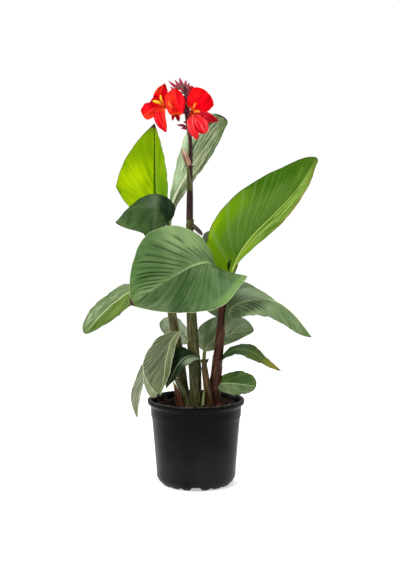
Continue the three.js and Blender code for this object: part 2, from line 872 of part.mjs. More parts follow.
const bracts = {
  bract_upper: {
    colour: colours.bract,
    rib: [[-12, -1, 706], [-20, -8, 730], [-30, -12, 757]],
    across: [1, 0.35, 0],
    leftHalf: 8.5,
    rightHalf: 8.5,
    tipPower: 0.45,
  },
  bract_lower: {
    colour: colours.leafDark,
    rib: [[-14, -5, 592], [-4, -14, 582], [14, -20, 566]],
    across: [0.5, -0.6, 0.6],
    leftHalf: 7,
    rightHalf: 7,
    tipPower: 0.35,
  },
};
const bractShape = {
  stalk: 0.05,
  stalkHalf: 3,
  stalkDepth: 0.6,
  basePower: 0.4,
  tipPower: 0.9,
  leftHalf: 9,
  rightHalf: 9,
  leftLift: [35, 30, 20],
  rightLift: [35, 30, 20],
  wave: 0,
  stations: 5,
  columns: 2,
};

// ---- assembly ----

const plant = new THREE.Group();

function place(name, solid, colour, roughness = 0.55) {
  const material = new THREE.MeshStandardMaterial({ color: colour, roughness, metalness: 0 });
  const mesh = new THREE.Mesh(geometryOf(mainBody(solid)), material);
  mesh.name = name;
  plant.add(mesh);
}

function buildPlant() {
  const grown = Object.keys(shoots).map((name) => stem(name, gap));
  place("pot", potSolid(), colours.pot, 0.45);
  place("potting_mix", soilSolid(grown), colours.soil, 0.95);
  const raceme = racemeSolid();
  const racemeClear = racemeSolid(gap);
  for (const name of Object.keys(shoots)) {
    const body = name === "stem_flowering" ? stem(name).subtract(racemeClear) : stem(name);
    place(name, body, shoots[name].colour, 0.5);
  }
  for (const [name, leaf] of Object.entries(leaves))
    place(name, bladeSolid(leaf).subtract(stem(leaf.on, gap)), leaf.colour, 0.45);
  for (const [name, bract] of Object.entries(bracts)) {
    const blade = bladeSolid({ ...bractShape, ...bract });
    place(name, blade.subtract(stem("stem_flowering", gap)), bract.colour, 0.7);
  }
  place("raceme", raceme, colours.wine);
  for (const [name, bloom] of Object.entries(blooms)) {
    place(name, bloomSolid(bloom).subtract(racemeClear), colours.bloom, 0.4);
    if (bloom.stamens.length) {
      const stamensName = name.replace("bloom", "stamens");
      place(stamensName, stamenSolid(bloom), colours.stamen, 0.5);
    }
  }
}

buildPlant();
export default plant;
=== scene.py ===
import math

import bmesh
import bpy
import numpy as np
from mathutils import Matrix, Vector


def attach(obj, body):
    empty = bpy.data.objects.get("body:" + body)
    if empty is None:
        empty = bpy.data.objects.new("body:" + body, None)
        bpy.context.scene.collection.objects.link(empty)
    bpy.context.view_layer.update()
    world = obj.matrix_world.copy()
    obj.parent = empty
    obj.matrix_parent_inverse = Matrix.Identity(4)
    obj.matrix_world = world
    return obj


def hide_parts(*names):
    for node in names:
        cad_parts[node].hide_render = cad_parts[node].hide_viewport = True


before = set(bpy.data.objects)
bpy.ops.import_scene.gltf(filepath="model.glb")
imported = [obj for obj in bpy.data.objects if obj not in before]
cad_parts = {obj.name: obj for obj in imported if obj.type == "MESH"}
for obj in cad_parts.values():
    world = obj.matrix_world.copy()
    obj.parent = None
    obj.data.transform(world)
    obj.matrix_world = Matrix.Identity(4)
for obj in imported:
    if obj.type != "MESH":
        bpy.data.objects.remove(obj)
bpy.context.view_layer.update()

# A canna lily in its nursery pot, dressed leaf by leaf round the fixed solids.
# Shapes are in millimetres, the pot stands at the origin and its front faces -Y.
mm = 0.001
print("frame loaded:", len(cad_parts), "solids")

# Camera, lamps and backdrop, in metres.

studio = {
    "cameraPlace": (0.009, -2.5, 0.680),
    "cameraPitch": 84.8,  # degrees up from looking straight down
    "lens": 70.42,
    "sensorWidth": 36,
    "farthest": 300,  # nothing beyond this is drawn
    "backdrop": 1.04,  # how bright the bare backdrop is
    "ambient": 0.4,  # soft light from all round
}
lamps = {
    "keyLamp": {"place": (-1.5, -1.9, 2.3), "aim": (0, 0, 0.45), "size": 1.1, "power": 96},
    "fillLamp": {"place": (2.1, -1.6, 1.4), "aim": (0, 0, 0.5), "size": 1.6, "power": 14},
    "topLamp": {"place": (0.3, 0.9, 2.6), "aim": (0, 0, 0.4), "size": 1.6, "power": 34},
    "leftLamp": {"place": (-2.2, 0.9, 0.8), "aim": (0, 0, 0.3), "size": 1.0, "power": 18},
    "rightLamp": {"place": (2.2, 0.9, 0.8), "aim": (0, 0, 0.3), "size": 1.0, "power": 10},
}


def setCamera():
    made = bpy.data.cameras.new("camera")
    made.lens = studio["lens"]
    made.sensor_width = studio["sensorWidth"]
    made.clip_end = studio["farthest"]
    camera = bpy.data.objects.new("camera", made)
    camera.location = studio["cameraPlace"]
    camera.rotation_euler = (math.radians(studio["cameraPitch"]), 0, 0)
    bpy.context.scene.collection.objects.link(camera)
    bpy.context.scene.camera = camera


def setLamp(name, lamp):
    made = bpy.data.lights.new(name, "AREA")
    made.shape = "DISK"
    made.size = lamp["size"]
    made.energy = lamp["power"]
    holder = bpy.data.objects.new(name, made)
    holder.location = lamp["place"]
    facing = Vector(lamp["aim"]) - Vector(lamp["place"])
    holder.rotation_euler = facing.to_track_quat("-Z", "Y").to_euler()
    bpy.context.scene.collection.objects.link(holder)


def setWorld():
    world = bpy.data.worlds.new("softbox")
    bpy.context.scene.world = world
    world.use_nodes = True
    tree = world.node_tree
    seen = tree.nodes.new("ShaderNodeLightPath")
    strength = tree.nodes.new("ShaderNodeMapRange")  # the backdrop is brighter than the light it sheds
    strength.inputs["To Min"].default_value = studio["ambient"]
    strength.inputs["To Max"].default_value = studio["backdrop"]
    tree.links.new(seen.outputs["Is Camera Ray"], strength.inputs["Value"])
    tree.nodes["Background"].inputs["Color"].default_value = (1, 1, 1, 1)
    tree.links.new(strength.outputs["Result"], tree.nodes["Background"].inputs["Strength"])


setCamera()
setWorld()
for lampName, lamp in lamps.items():
    setLamp(lampName, lamp)
bpy.context.scene.view_settings.view_transform = "Standard"
print("camera and lights set")

# Paint: short names for the shader nodes that every skin is made of.

paintGain = 0.72  # leaves and stems are painted this much darker than they look, as the studio is bright


def tone(colour, gain=1.0):
    # An sRGB colour of 0 to 255 as the shader's own.
    linear = [c / 12.92 if c <= 0.04045 else ((c + 0.055) / 1.055) ** 2.4 for c in (x / 255 for x in colour)]
    return (*[min(1.0, c * gain) for c in linear], 1)


def paint(colour):
    return tone(colour, paintGain)


def addNode(tree, kind, inputs=None, **settings):
    made = tree.nodes.new("ShaderNode" + kind)
    for key, value in settings.items():
        setattr(made, key, value)
    for key, value in (inputs or {}).items():
        if isinstance(value, bpy.types.NodeSocket):
            tree.links.new(value, made.inputs[key])
        else:
            made.inputs[key].default_value = value
    return made


def calc(tree, operation, a, b=0.0, c=0.0):
    return addNode(tree, "Math", {0: a, 1: b, 2: c}, operation=operation).outputs[0]


def times(tree, a, b):
    return calc(tree, "MULTIPLY", a, b)


def plus(tree, a, b):
    return calc(tree, "ADD", a, b)


def ease(tree, value, low, high, least=0.0, most=1.0):
    # least below low and most above high, with a soft step between; low may be the larger one.
    ends = {"Value": value, "From Min": low, "From Max": high, "To Min": least, "To Max": most}
    return addNode(tree, "MapRange", ends, interpolation_type="SMOOTHSTEP").outputs["Result"]


def blend(tree, share, a, b):
    mix = addNode(tree, "Mix", {0: share, 6: a, 7: b}, data_type="RGBA")
    return mix.outputs[2]


def parts(tree, attribute):
    read = addNode(tree, "Attribute", attribute_name=attribute, attribute_type="GEOMETRY")
    return addNode(tree, "SeparateXYZ", {0: read.outputs["Vector"]}).outputs[:]


def joined(tree, x, y, z):
    return addNode(tree, "CombineXYZ", {0: x, 1: y, 2: z}).outputs[0]


def noise(tree, place, scale, detail=3.0, rough=0.55):
    inputs = {"Vector": place, "Scale": scale, "Detail": detail, "Roughness": rough}
    return addNode(tree, "TexNoise", inputs).outputs[0]


def newSkin(name, gloss, roughness):
    skin = bpy.data.materials.new(name)
    skin.use_nodes = True
    tree = skin.node_tree
    shader = tree.nodes["Principled BSDF"]
    shader.inputs["Roughness"].default_value = roughness
    shader.inputs["Specular IOR Level"].default_value = gloss
    place = addNode(tree, "TexCoord").outputs["Object"]
    return skin, tree, shader, place


def finishSkin(tree, shader, colour, rough, height, depth, strength):
    # Wires colour, roughness and relief to the shader; depth is in metres.
    bump = addNode(tree, "Bump", {"Height": height, "Distance": depth, "Strength": strength})
    for socket, value in (("Base Color", colour), ("Roughness", rough), ("Normal", bump.outputs[0])):
        tree.links.new(value, shader.inputs[socket])


# Building blocks: smooth lines, grids of faces and the shape that becomes a piece.


class Curve:
    # A smooth line through points. It is read by its length: u is 0 at its start and 1 at its end.
    def __init__(self, points, samples=201):
        p = np.array(points, float)
        self.points = np.vstack([2 * p[0] - p[1], p, 2 * p[-1] - p[-2]])
        self.spans = len(p) - 1
        self.steps = np.linspace(0, 1, samples)
        lengths = np.linalg.norm(np.diff(self.raw(self.steps), axis=0), axis=1)
        reached = np.concatenate([[0], np.cumsum(lengths)])
        self.length = reached[-1]
        self.shares = reached / self.length

    def raw(self, t):
        place = np.clip(t, 0, 1) * self.spans
        i = np.minimum(place.astype(int), self.spans - 1)
        w = (place - i)[:, None]
        a, b, c, d = (self.points[i + k] for k in range(4))
        leave, reach = (c - a) / 2, (d - b) / 2
        return b + w * leave + w**2 * (3 * (c - b) - 2 * leave - reach) + w**3 * (2 * (b - c) + leave + reach)

    def at(self, u):
        return self.raw(np.interp(u, self.shares, self.steps))

    def tangent(self, u, step=1e-4):
        t = np.interp(u, self.shares, self.steps)
        way = self.raw(t + step) - self.raw(t - step)
        return way / np.linalg.norm(way, axis=1)[:, None]


def unit(vectors):
    return vectors / np.maximum(np.linalg.norm(vectors, axis=-1, keepdims=True), 1e-12)


def gridFaces(rows, columns, start=0, flip=False, wrap=False):
    i, j = np.meshgrid(np.arange(rows - 1), np.arange(columns if wrap else columns - 1), indexing="ij")
    a = start + i * columns + j
    b = start + i * columns + (j + 1) % columns
    faces = np.stack([a, b, b + columns, a + columns], -1).reshape(-1, 4)
    return (faces[:, ::-1] if flip else faces).tolist()


def tubeFaces(rows, columns):
    # Rings joined into a tube, closed by fans to its two poles; the poles come after the rings.
    faces = gridFaces(rows, columns, wrap=True)
    foot, head, last = rows * columns, rows * columns + 1, (rows - 1) * columns
    for j in range(columns):
        after = (j + 1) % columns
        faces += [[foot, after, j], [head, last + j, last + after]]
    return faces


def sheetFaces(rows, columns):
    # Two grids back to back, the second one turned over, and the narrow walls between their edges.
    size, last = rows * columns, (rows - 1) * columns
    faces = gridFaces(rows, columns) + gridFaces(rows, columns, size, flip=True)
    for i in range(rows - 1):
        a = i * columns
        b = a + columns - 1
        faces += [[a, a + columns, size + a + columns, size + a]]
        faces += [[b + columns, b, size + b, size + b + columns]]
    for j in range(columns - 1):
        end = last + j
        faces += [[j + 1, j, size + j, size + j + 1], [end, end + 1, size + end + 1, size + end]]
    return faces


class Shape:
    # Points, faces and named point values that grow as parts are added; it becomes one piece.
    def __init__(self):
        self.points, self.faces, self.values, self.count = [], [], {}, 0

    def add(self, points, faces, **values):
        points = np.asarray(points, float).reshape(-1, 3)
        self.faces += [[i + self.count for i in face] for face in faces]
        for name, value in values.items():
            wide = np.broadcast_to(np.asarray(value, float), (len(points), 3))
            self.values.setdefault(name, []).append(wide)
        self.points.append(points)
        self.count += len(points)

    def piece(self, name, skin, replaces=(), sharp=50, maps=None):
        mesh = bpy.data.meshes.new(name)
        mesh.from_pydata((np.vstack(self.points) * mm).tolist(), [], self.faces)
        mesh.materials.append(skin)
        for key, value in self.values.items():
            layer = mesh.attributes.new(key, "FLOAT_VECTOR", "POINT")
            layer.data.foreach_set("vector", np.vstack(value).astype(np.float32).ravel())
        if maps is not None:
            corners = np.zeros(len(mesh.loops), np.int32)
            mesh.loops.foreach_get("vertex_index", corners)
            mesh.uv_layers.new(name="OFBake").data.foreach_set("uv", maps[corners].astype(np.float32).ravel())
        mesh.polygons.foreach_set("use_smooth", np.ones(len(mesh.polygons), bool))
        mesh.set_sharp_from_angle(angle=math.radians(sharp))
        made = bpy.data.objects.new(name, mesh)
        bpy.context.scene.collection.objects.link(made)
        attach(made, "root")
        if replaces:
            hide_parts(*replaces)


def ripples(x, seed, waves):
    # A repeatable wandering line: the sum of sines at the given counts, each with its own phase.
    draw = np.random.default_rng(seed)
    return sum(size * np.sin(2 * np.pi * (count * x + draw.random())) for count, size in waves)


def soft(x, low, high):
    t = np.clip((x - low) / (high - low), 0, 1)
    return t * t * (3 - 2 * t)


# Blades: leaves, bracts, petals and stamens.

bladeBasics = {
    "stalk": 0.12,  # share of the length that is petiole
    "stalkHalf": 4,
    "stalkDepth": 4,
    "basePower": 0.6,
    "tipPower": 1,
    "twist": [0, 0, 0],  # degrees at base, middle and tip, as are the lifts
    "leftLift": [8, 8, 8],
    "rightLift": [8, 8, 8],
    "wave": 2,
    "waves": 2.5,
    "fold": 2.5,  # radius of the crease at the rib
    "thick": 0.7,
    "thin": 0.3,  # thickness at the margin
    "sweep": 2.0,  # how strongly the veins bend towards the tip
    "veinStep": 8.0,
    "veinHeight": 0.55,
    "ruffle": 0.7,
    "ruffles": (7, 12, 19),  # how many times each ruffle swings along the margin
    "ruffleSizes": (0.8, 0.5, 0.3),
    "ragged": 0.012,  # unevenness of the margin
    "uneven": [(4, 0.6), (7, 0.5), (11, 0.3)],  # how many times it swings along the blade, and how far
    "pleats": (0, 0),  # how many long folds, and how deep
    "creases": [],  # stretches that are gathered into deeper folds
    "columns": 15,  # of the mesh, on each side of the rib
    "seed": 1,
}
bladeMesh = {
    "betweenVeins": [0, 0.14, 0.38, 0.62, 0.86],  # where the rows lie from one vein to the next
    "atBase": [0, 0.004, 0.015, 0.035, 0.07],  # closer rows where the stalk ends
    "lastRow": 0.9995,
    "stalkRow": 4,  # spacing of the rows on the stalk
    "ribColumns": 4,  # columns on each side that follow the rib
    "ribHalf": 0.9,  # the rib's half width near the tip
    "ribShare": 0.6,  # the most of the blade's width that the rib takes
    "crowding": 1.1,  # how much closer the columns stand near the rib
    "tipFlattening": 60,  # the higher, the nearer the tip the lift ends
}


def along3(values, b):
    base, middle, tip = values
    return base * (1 - b) * (1 - 2 * b) + middle * 4 * b * (1 - b) + tip * b * (2 * b - 1)


def outline(b, shape):
    # Two powers set how round base and tip are.
    # Three values give a corner's place and how sharp its two sides are.
    if len(shape) == 3:
        corner, below, above = shape
        away = np.where(b < corner, (corner - b) / corner, (b - corner) / (1 - corner))
        turn = np.where(b < corner, below, above)
        return 1 - away * (turn + (1 - turn) * away)
    basePower, tipPower = shape
    widest = basePower / (basePower + tipPower)
    peak = widest**basePower * (1 - widest) ** tipPower
    return b**basePower * (1 - b) ** tipPower / peak


def halfWidth(blade, b, side):
    stalkHalf = blade["stalkHalf"] + (0.4 - blade["stalkHalf"]) * np.minimum(1, b * 1.6)
    powers = blade.get(side + "Powers", [blade["basePower"], blade["tipPower"]])
    return np.hypot(stalkHalf, blade[side + "Half"] * outline(b, powers))


def pleated(blade, b, share):
    # Long folds that run with the blade and grow towards its end.
    count, depth = blade["pleats"]
    return depth * soft(b, 0.05, 0.9) * np.sin(2 * np.pi * (count * share + 0.37 * blade["seed"]) + 1.5 * b)


def bladePoints(blade, reach, share):
    # reach runs from below 0 on the stalk to 1 at the tip, share from -1 to 1 across the blade.
    curve = Curve(blade["rib"])
    shape = reach.shape
    u = (blade["stalk"] + (1 - blade["stalk"]) * reach).ravel()
    b = np.clip(reach, 0, 1)
    centre = curve.at(u).reshape(*shape, 3)
    tangent = curve.tangent(u).reshape(*shape, 3)
    across = np.array(blade["across"], float)
    side = unit(across - tangent * (tangent @ across)[..., None])
    turn = -np.radians(along3(blade["twist"], b))[..., None]
    side = side * np.cos(turn) + np.cross(tangent, side) * np.sin(turn)
    normal = np.cross(side, tangent)
    right = share >= 0
    width = np.where(right, halfWidth(blade, b, "right"), halfWidth(blade, b, "left"))
    calm = soft(b, 0, 0.15) * (1 - b**6)
    edges = [1 + blade["ragged"] * ripples(b, blade["seed"] + k, blade["uneven"]) * calm for k in (20, 70)]
    width = width * np.where(right, *edges)
    lift = np.radians(np.where(right, along3(blade["rightLift"], b), along3(blade["leftLift"], b)))
    lift = lift * (1 - b ** bladeMesh["tipFlattening"])
    away = np.abs(share) * width
    # The section is an arc at the rib, as deep as the fold, and straight beyond it.
    angle = np.minimum(np.abs(lift), away / blade["fold"])
    rest = away - angle * blade["fold"]
    out = blade["fold"] * np.sin(angle) + rest * np.cos(angle)
    up = np.sign(lift) * (blade["fold"] * (1 - np.cos(angle)) + rest * np.sin(angle))
    phase = np.where(right, 2.0, 0.0)
    up = up + pleated(blade, b, share)
    up = up + blade["wave"] * share**2 * np.sin(np.pi * b) * np.sin(2 * np.pi * blade["waves"] * b + phase)
    points = centre + side * (np.where(right, 1, -1) * out)[..., None] + normal * up[..., None]
    return points, width


def gathered(blade, relief, b, share, phase, veins, draw):
    # Adds the stretches where the blade is gathered into deeper folds, each fold of its own depth.
    for crease in blade["creases"]:
        low, high = crease["reach"]
        near, far = crease["share"]
        place = soft(b, low, low + 0.12) * (1 - soft(b, high - 0.12, high))
        place = place * soft(share, near, near + 0.12) * (1 - soft(share, far - 0.2, far))
        turn = phase / crease["pitch"] + 0.12 * ripples(phase / veins, blade["seed"] + 9, [(3, 1), (7, 0.6)])
        depth = crease["depth"] * draw.uniform(0.5, 1.3, veins + 2)[np.minimum(turn.astype(int), veins)]
        fold = np.sin(2 * np.pi * turn) + 0.35 * np.sin(4 * np.pi * turn + 0.6)
        relief = relief + (depth * fold)[:, None] * place
    return relief


def bladeGrid(given):
    # Rows follow the veins, so that each vein is a line of the mesh; columns run from margin to margin.
    blade = {**bladeBasics, **given}
    draw = np.random.default_rng(blade["seed"])
    length = Curve(blade["rib"]).length * (1 - blade["stalk"])
    veins = max(4, round(length / blade["veinStep"]))
    stalkStart = -blade["stalk"] / (1 - blade["stalk"])
    stalkCount = max(3, round(blade["stalk"] * length / bladeMesh["stalkRow"]))
    stalkRows = np.linspace(stalkStart, 0, stalkCount)[:-1]
    phases = (np.arange(veins)[:, None] + np.array(bladeMesh["betweenVeins"])).ravel()
    phases = np.concatenate([bladeMesh["atBase"], phases[1:]])
    label = np.concatenate([stalkRows, phases / veins, [bladeMesh["lastRow"]]])
    inner, count = bladeMesh["ribColumns"], blade["columns"]
    mid = np.clip(label, 0, 1)
    slimming = np.minimum(1, mid * 1.5) ** 0.6
    ribHalf = blade["stalkHalf"] + (bladeMesh["ribHalf"] - blade["stalkHalf"]) * slimming
    halves = []
    for side in ("left", "right"):
        keel = np.minimum(bladeMesh["ribShare"], ribHalf / halfWidth(blade, mid, side))[:, None]
        steps = np.arange(1, count + 1)
        close = keel * np.minimum(steps, inner) / inner
        outer = (1 - keel) * (np.maximum(steps - inner, 0) / (count - inner)) ** bladeMesh["crowding"]
        halves.append(close + outer)
    share = np.hstack([-halves[0][:, ::-1], np.zeros((len(label), 1)), halves[1]])
    part = np.abs(share)
    swept = 1 - (1 - mid[:, None]) ** (1 + blade["sweep"] * part**1.1)
    reach = np.where(label[:, None] < 0, label[:, None], swept)
    points, width = bladePoints(blade, reach, share)
    b = np.clip(reach, 0, 1)

    along = np.gradient(points, axis=0)
    over = np.gradient(points, axis=1)
    normal = unit(np.cross(over, along))
    away = part * width
    edge = np.minimum((1 - part) * width, (1 - b) * length * 0.8)

    # Bulges between the veins, each of its own height, and a fine ruffle along the margins.
    phase = mid * veins
    heights = draw.uniform(0.45, 1.5, veins + 2)[np.minimum(phase.astype(int), veins)]
    bulge = (np.sin(np.pi * (phase % 1)) ** 0.8 - 0.5) * heights
    fade = soft(away, 1, 9) * (1 - part**5) * soft(b, 0, 0.08) * (1 - b**6)
    fade = fade * soft(label, -0.01, 0.03)[:, None]
    relief = blade["veinHeight"] * bulge[:, None] * fade
    relief = gathered(blade, relief, b, share, phase, veins, draw)
    swings = list(zip(blade["ruffles"], blade["ruffleSizes"]))
    wavy = np.where(share >= 0, ripples(b, blade["seed"], swings), ripples(b, blade["seed"] + 50, swings))
    ruffle = blade["ruffle"] * part**4 * wavy * soft(b, 0, 0.1) * (1 - b**8)
    points = points + normal * (relief + ruffle)[..., None]

    # The rib stands out below as a keel, with a shallow channel above it.
    keelDepth = blade["stalkDepth"] * (1 - b) ** 1.2 + 0.2
    keelShape = np.sqrt(np.clip(1 - (away / ribHalf[:, None]) ** 2, 0, 1))
    hollow = 0.3 * keelDepth * np.clip(1 - (away / (0.75 * ribHalf[:, None])) ** 2, 0, 1)
    body = (blade["thin"] + (blade["thick"] - blade["thin"]) * (1 - part)) / 2
    return {
        "top": points + normal * (body - hollow)[..., None],
        "under": points - normal * (body + keelDepth * keelShape)[..., None],
        "blade": np.stack([reach, share, edge], -1),
        "vein": np.broadcast_to(phase[:, None], share.shape),
        "relief": relief,
        "away": away,
    }


def addBlade(shape, given, flush=None):
    grid = bladeGrid(given)
    rows, columns = grid["top"].shape[:2]
    points = np.vstack([grid["top"].reshape(-1, 3), grid["under"].reshape(-1, 3)])
    blade = np.vstack([grid["blade"].reshape(-1, 3)] * 2)
    under = np.repeat([0.0, 1.0], rows * columns)
    veins = np.stack([np.tile(grid["vein"].ravel(), 2), np.tile(grid["away"].ravel(), 2), under], -1)
    relief = np.stack([np.tile(grid["relief"].ravel(), 2) * (1 - 2 * under), 0 * under, 0 * under], -1)
    values = {"blade": blade, "veins": veins, "relief": relief}
    if flush is not None:
        values["flush"] = flush
    shape.add(points, sheetFaces(rows, columns), **values)
    # The bake's map: the top on the left half and the underside on the right, rows going up.
    i, j = np.meshgrid(np.arange(rows) / (rows - 1), np.arange(columns) / (columns - 1), indexing="ij")
    half = np.stack([0.01 + 0.48 * j.ravel(), 0.01 + 0.98 * i.ravel()], -1)
    return np.vstack([half, half + [0.5, 0]])


# Leaves. Each has its shape and its look in one dictionary; colours are sRGB from 0 to 255.
# An area or stripe says where it is by reach from and to, share from and to, and how soft its border is.

leafLook = {
    "margin": (120, 140, 90),
    "marginWidth": 1.1,
    "ribWidth": 2.0,
    "veinShow": 0.3,
    "baseTint": (120, 140, 60),
    "baseReach": 0.1,
    "stalkTone": (110, 120, 60),
    "tipTint": (95, 120, 60),
    "tipReach": 0.85,
    "brownFrom": 0.985,
    "gloss": 0.16,
    "roughness": 0.44,
    # Painted shade: the folds between the veins are painted darker the deeper they are.
    "foldShade": (30, 52, 26),  # what the folds between the veins go to in their depth
    "foldShadeShow": 0.55,
    "calm": (0.8, 0.3),  # fine marks are gone past the first reach and full before the second
    "ribFade": (1.6, 1.4),  # the same for the midrib's own colour
}
leafGrain = {
    "streak": (0.5, 1.3),  # how close streaks stand: from vein to vein and from rib to margin
    "fineStreak": (5.0, 3.0),
    "cloud": 16.0,
    "mixture": (0.55, 0.3, 0.15),  # shares of streaks, clouds and fine streaks in the patches
    "patch": (0.39, 0.61),  # where dark turns to light
    "stripeLength": 4.0,  # how often a stripe breaks along the blade
    "veinLine": (0.3, 0.5),
    "veinNearRib": 0.35,  # veins are faint where they leave the rib
    # How deep a fold is where its painted shade is full.
    "foldShadeDepth": -1.1,
    "baseShow": 0.8,
    "tipShow": 0.7,
    "brown": (62, 42, 24),
    "threads": 4,  # fine ridges from one vein to the next
    "threadHeight": 0.1,
    "cloudHeight": 0.5,
    "bumpDepth": 0.0005,
}


def region(tree, marks, place):
    # 1 inside a part of the blade.
    fromReach, toReach, fromShare, toShare, border = place
    near = ease(tree, marks["reach"], fromReach - border, fromReach + border)
    far = ease(tree, marks["reach"], toReach + border, toReach - border)
    low = ease(tree, marks["share"], fromShare - border, fromShare + border)
    high = ease(tree, marks["share"], toShare + border, toShare - border)
    return times(tree, times(tree, near, far), times(tree, low, high))


def faceColour(tree, look, marks):
    # One face of a leaf: patchy along the veins, with its own left half, veins and midrib.
    colour = blend(tree, marks["patch"], paint(look["dark"]), paint(look["light"]))
    if "leftDark" in look:
        left = blend(tree, marks["patch"], paint(look["leftDark"]), paint(look["leftLight"]))
        colour = blend(tree, marks["left"], colour, left)
    for tint, place, strength in look.get("areas", []):
        inside = times(tree, region(tree, marks, place), strength)
        colour = blend(tree, inside, colour, paint(tint))
    for k, (tint, place, count, cut) in enumerate(look.get("stripes", [])):
        # Long stripes that run with the blade; count is how close they stand, cut how few there are.
        along = times(tree, marks["reach"], leafGrain["stripeLength"])
        lines = joined(tree, times(tree, marks["share"], count), along, 3.7 * k + 1.3)
        stripe = ease(tree, noise(tree, lines, 1.0, 2.0), cut, cut + 0.05)
        colour = blend(tree, times(tree, stripe, region(tree, marks, place)), colour, paint(tint))
    colour = blend(tree, times(tree, marks["vein"], look["veinShow"]), colour, paint(look["vein"]))
    return blend(tree, marks["rib"], colour, paint(look["rib"]))


def leafSkin(name, look, seed):
    skin, tree, shader, place = newSkin(name, look["gloss"], look["roughness"])
    reach, share, edge = parts(tree, "blade")
    phase, away, under = parts(tree, "veins")
    part = calc(tree, "ABSOLUTE", share)
    cloud = noise(tree, place, leafGrain["cloud"], 4.0)
    calm = ease(tree, reach, *look["calm"])

    def streaks(close):
        lines = joined(tree, times(tree, phase, close[0]), times(tree, share, close[1]), seed)
        return noise(tree, lines, 1.0)

    # Streaks run along the veins; clouds don't.
    ofStreak, ofCloud, ofFine = leafGrain["mixture"]
    fine = calc(tree, "SUBTRACT", streaks(leafGrain["fineStreak"]), 0.5)
    fine = calc(tree, "MULTIPLY_ADD", fine, calm, 0.5)
    mixed = plus(tree, times(tree, streaks(leafGrain["streak"]), ofStreak), times(tree, cloud, ofCloud))
    mixed = plus(tree, mixed, times(tree, fine, ofFine))
    saw = calc(tree, "ABSOLUTE", calc(tree, "SUBTRACT", calc(tree, "FRACT", phase), 0.5))
    vein = times(tree, ease(tree, saw, *leafGrain["veinLine"]), ease(tree, reach, 0.0, 0.04))
    vein = times(tree, vein, ease(tree, reach, 1.0, 0.55))
    vein = times(tree, vein, ease(tree, part, 0.0, 0.3, leafGrain["veinNearRib"]))
    ribEdge = calc(tree, "MULTIPLY_ADD", reach, -0.75 * look["ribWidth"], look["ribWidth"])
    rib = ease(tree, calc(tree, "SUBTRACT", away, ribEdge), 0.5, -0.5)
    marks = {
        "patch": ease(tree, mixed, *leafGrain["patch"]), "left": ease(tree, share, 0.01, -0.01),
        "vein": vein, "rib": times(tree, rib, ease(tree, reach, *look["ribFade"])),
        "reach": reach, "share": share,
    }
    top = faceColour(tree, look["top"], marks)
    colour = blend(tree, under, top, faceColour(tree, look["under"], marks))

    # Painted shade in the folds between the veins: the deeper the fold, the darker its colour.
    foldShade = ease(tree, parts(tree, "relief")[0], 0.0, leafGrain["foldShadeDepth"])
    colour = blend(tree, times(tree, foldShade, look["foldShadeShow"]), colour, paint(look["foldShade"]))
    base = ease(tree, plus(tree, reach, times(tree, part, 0.1)), look["baseReach"], 0.0)
    colour = blend(tree, times(tree, base, leafGrain["baseShow"]), colour, paint(look["baseTint"]))
    colour = blend(tree, ease(tree, reach, 0.02, -0.05), colour, paint(look["stalkTone"]))
    tip = ease(tree, reach, look["tipReach"], 1.0)
    colour = blend(tree, times(tree, tip, leafGrain["tipShow"]), colour, paint(look["tipTint"]))
    lip = ease(tree, edge, look["marginWidth"], look["marginWidth"] * 0.35)
    lip = times(tree, lip, ease(tree, reach, 0.0, 0.05))
    colour = blend(tree, lip, colour, paint(look["margin"]))
    ragged = plus(tree, reach, times(tree, cloud, 0.03))
    brown = ease(tree, ragged, look["brownFrom"] + 0.01, look["brownFrom"] + 0.022)
    colour = blend(tree, brown, colour, paint(leafGrain["brown"]))

    wear = ease(tree, cloud, 0.3, 0.7, look["roughness"] - 0.06, look["roughness"] + 0.1)
    threads = calc(tree, "SINE", times(tree, phase, 2 * math.pi * leafGrain["threads"]))
    threads = times(tree, times(tree, threads, calm), leafGrain["threadHeight"])
    height = plus(tree, threads, times(tree, cloud, leafGrain["cloudHeight"]))
    finishSkin(tree, shader, colour, wear, height, leafGrain["bumpDepth"], 0.5)
    return skin


def paler(colour, share=0.35):
    return tuple(c + (190 - c) * share * w for c, w in zip(colour, (0.8, 0.9, 0.7)))


def growLeaf(name, node, leaf):
    # A look without an underside of its own gets a paler copy of its top.
    look = {**leafLook, **leaf["look"]}
    look["top"] = {"veinShow": look["veinShow"], **look["top"]}
    pale = {key: paler(look["top"][key]) for key in ("dark", "light", "vein", "rib")}
    look["under"] = {**pale, "veinShow": look["veinShow"], **look.get("under", {})}
    shape = Shape()
    maps = addBlade(shape, leaf)
    shape.piece(name, leafSkin(name + "Skin", look, leaf["seed"]), [node], maps=maps)


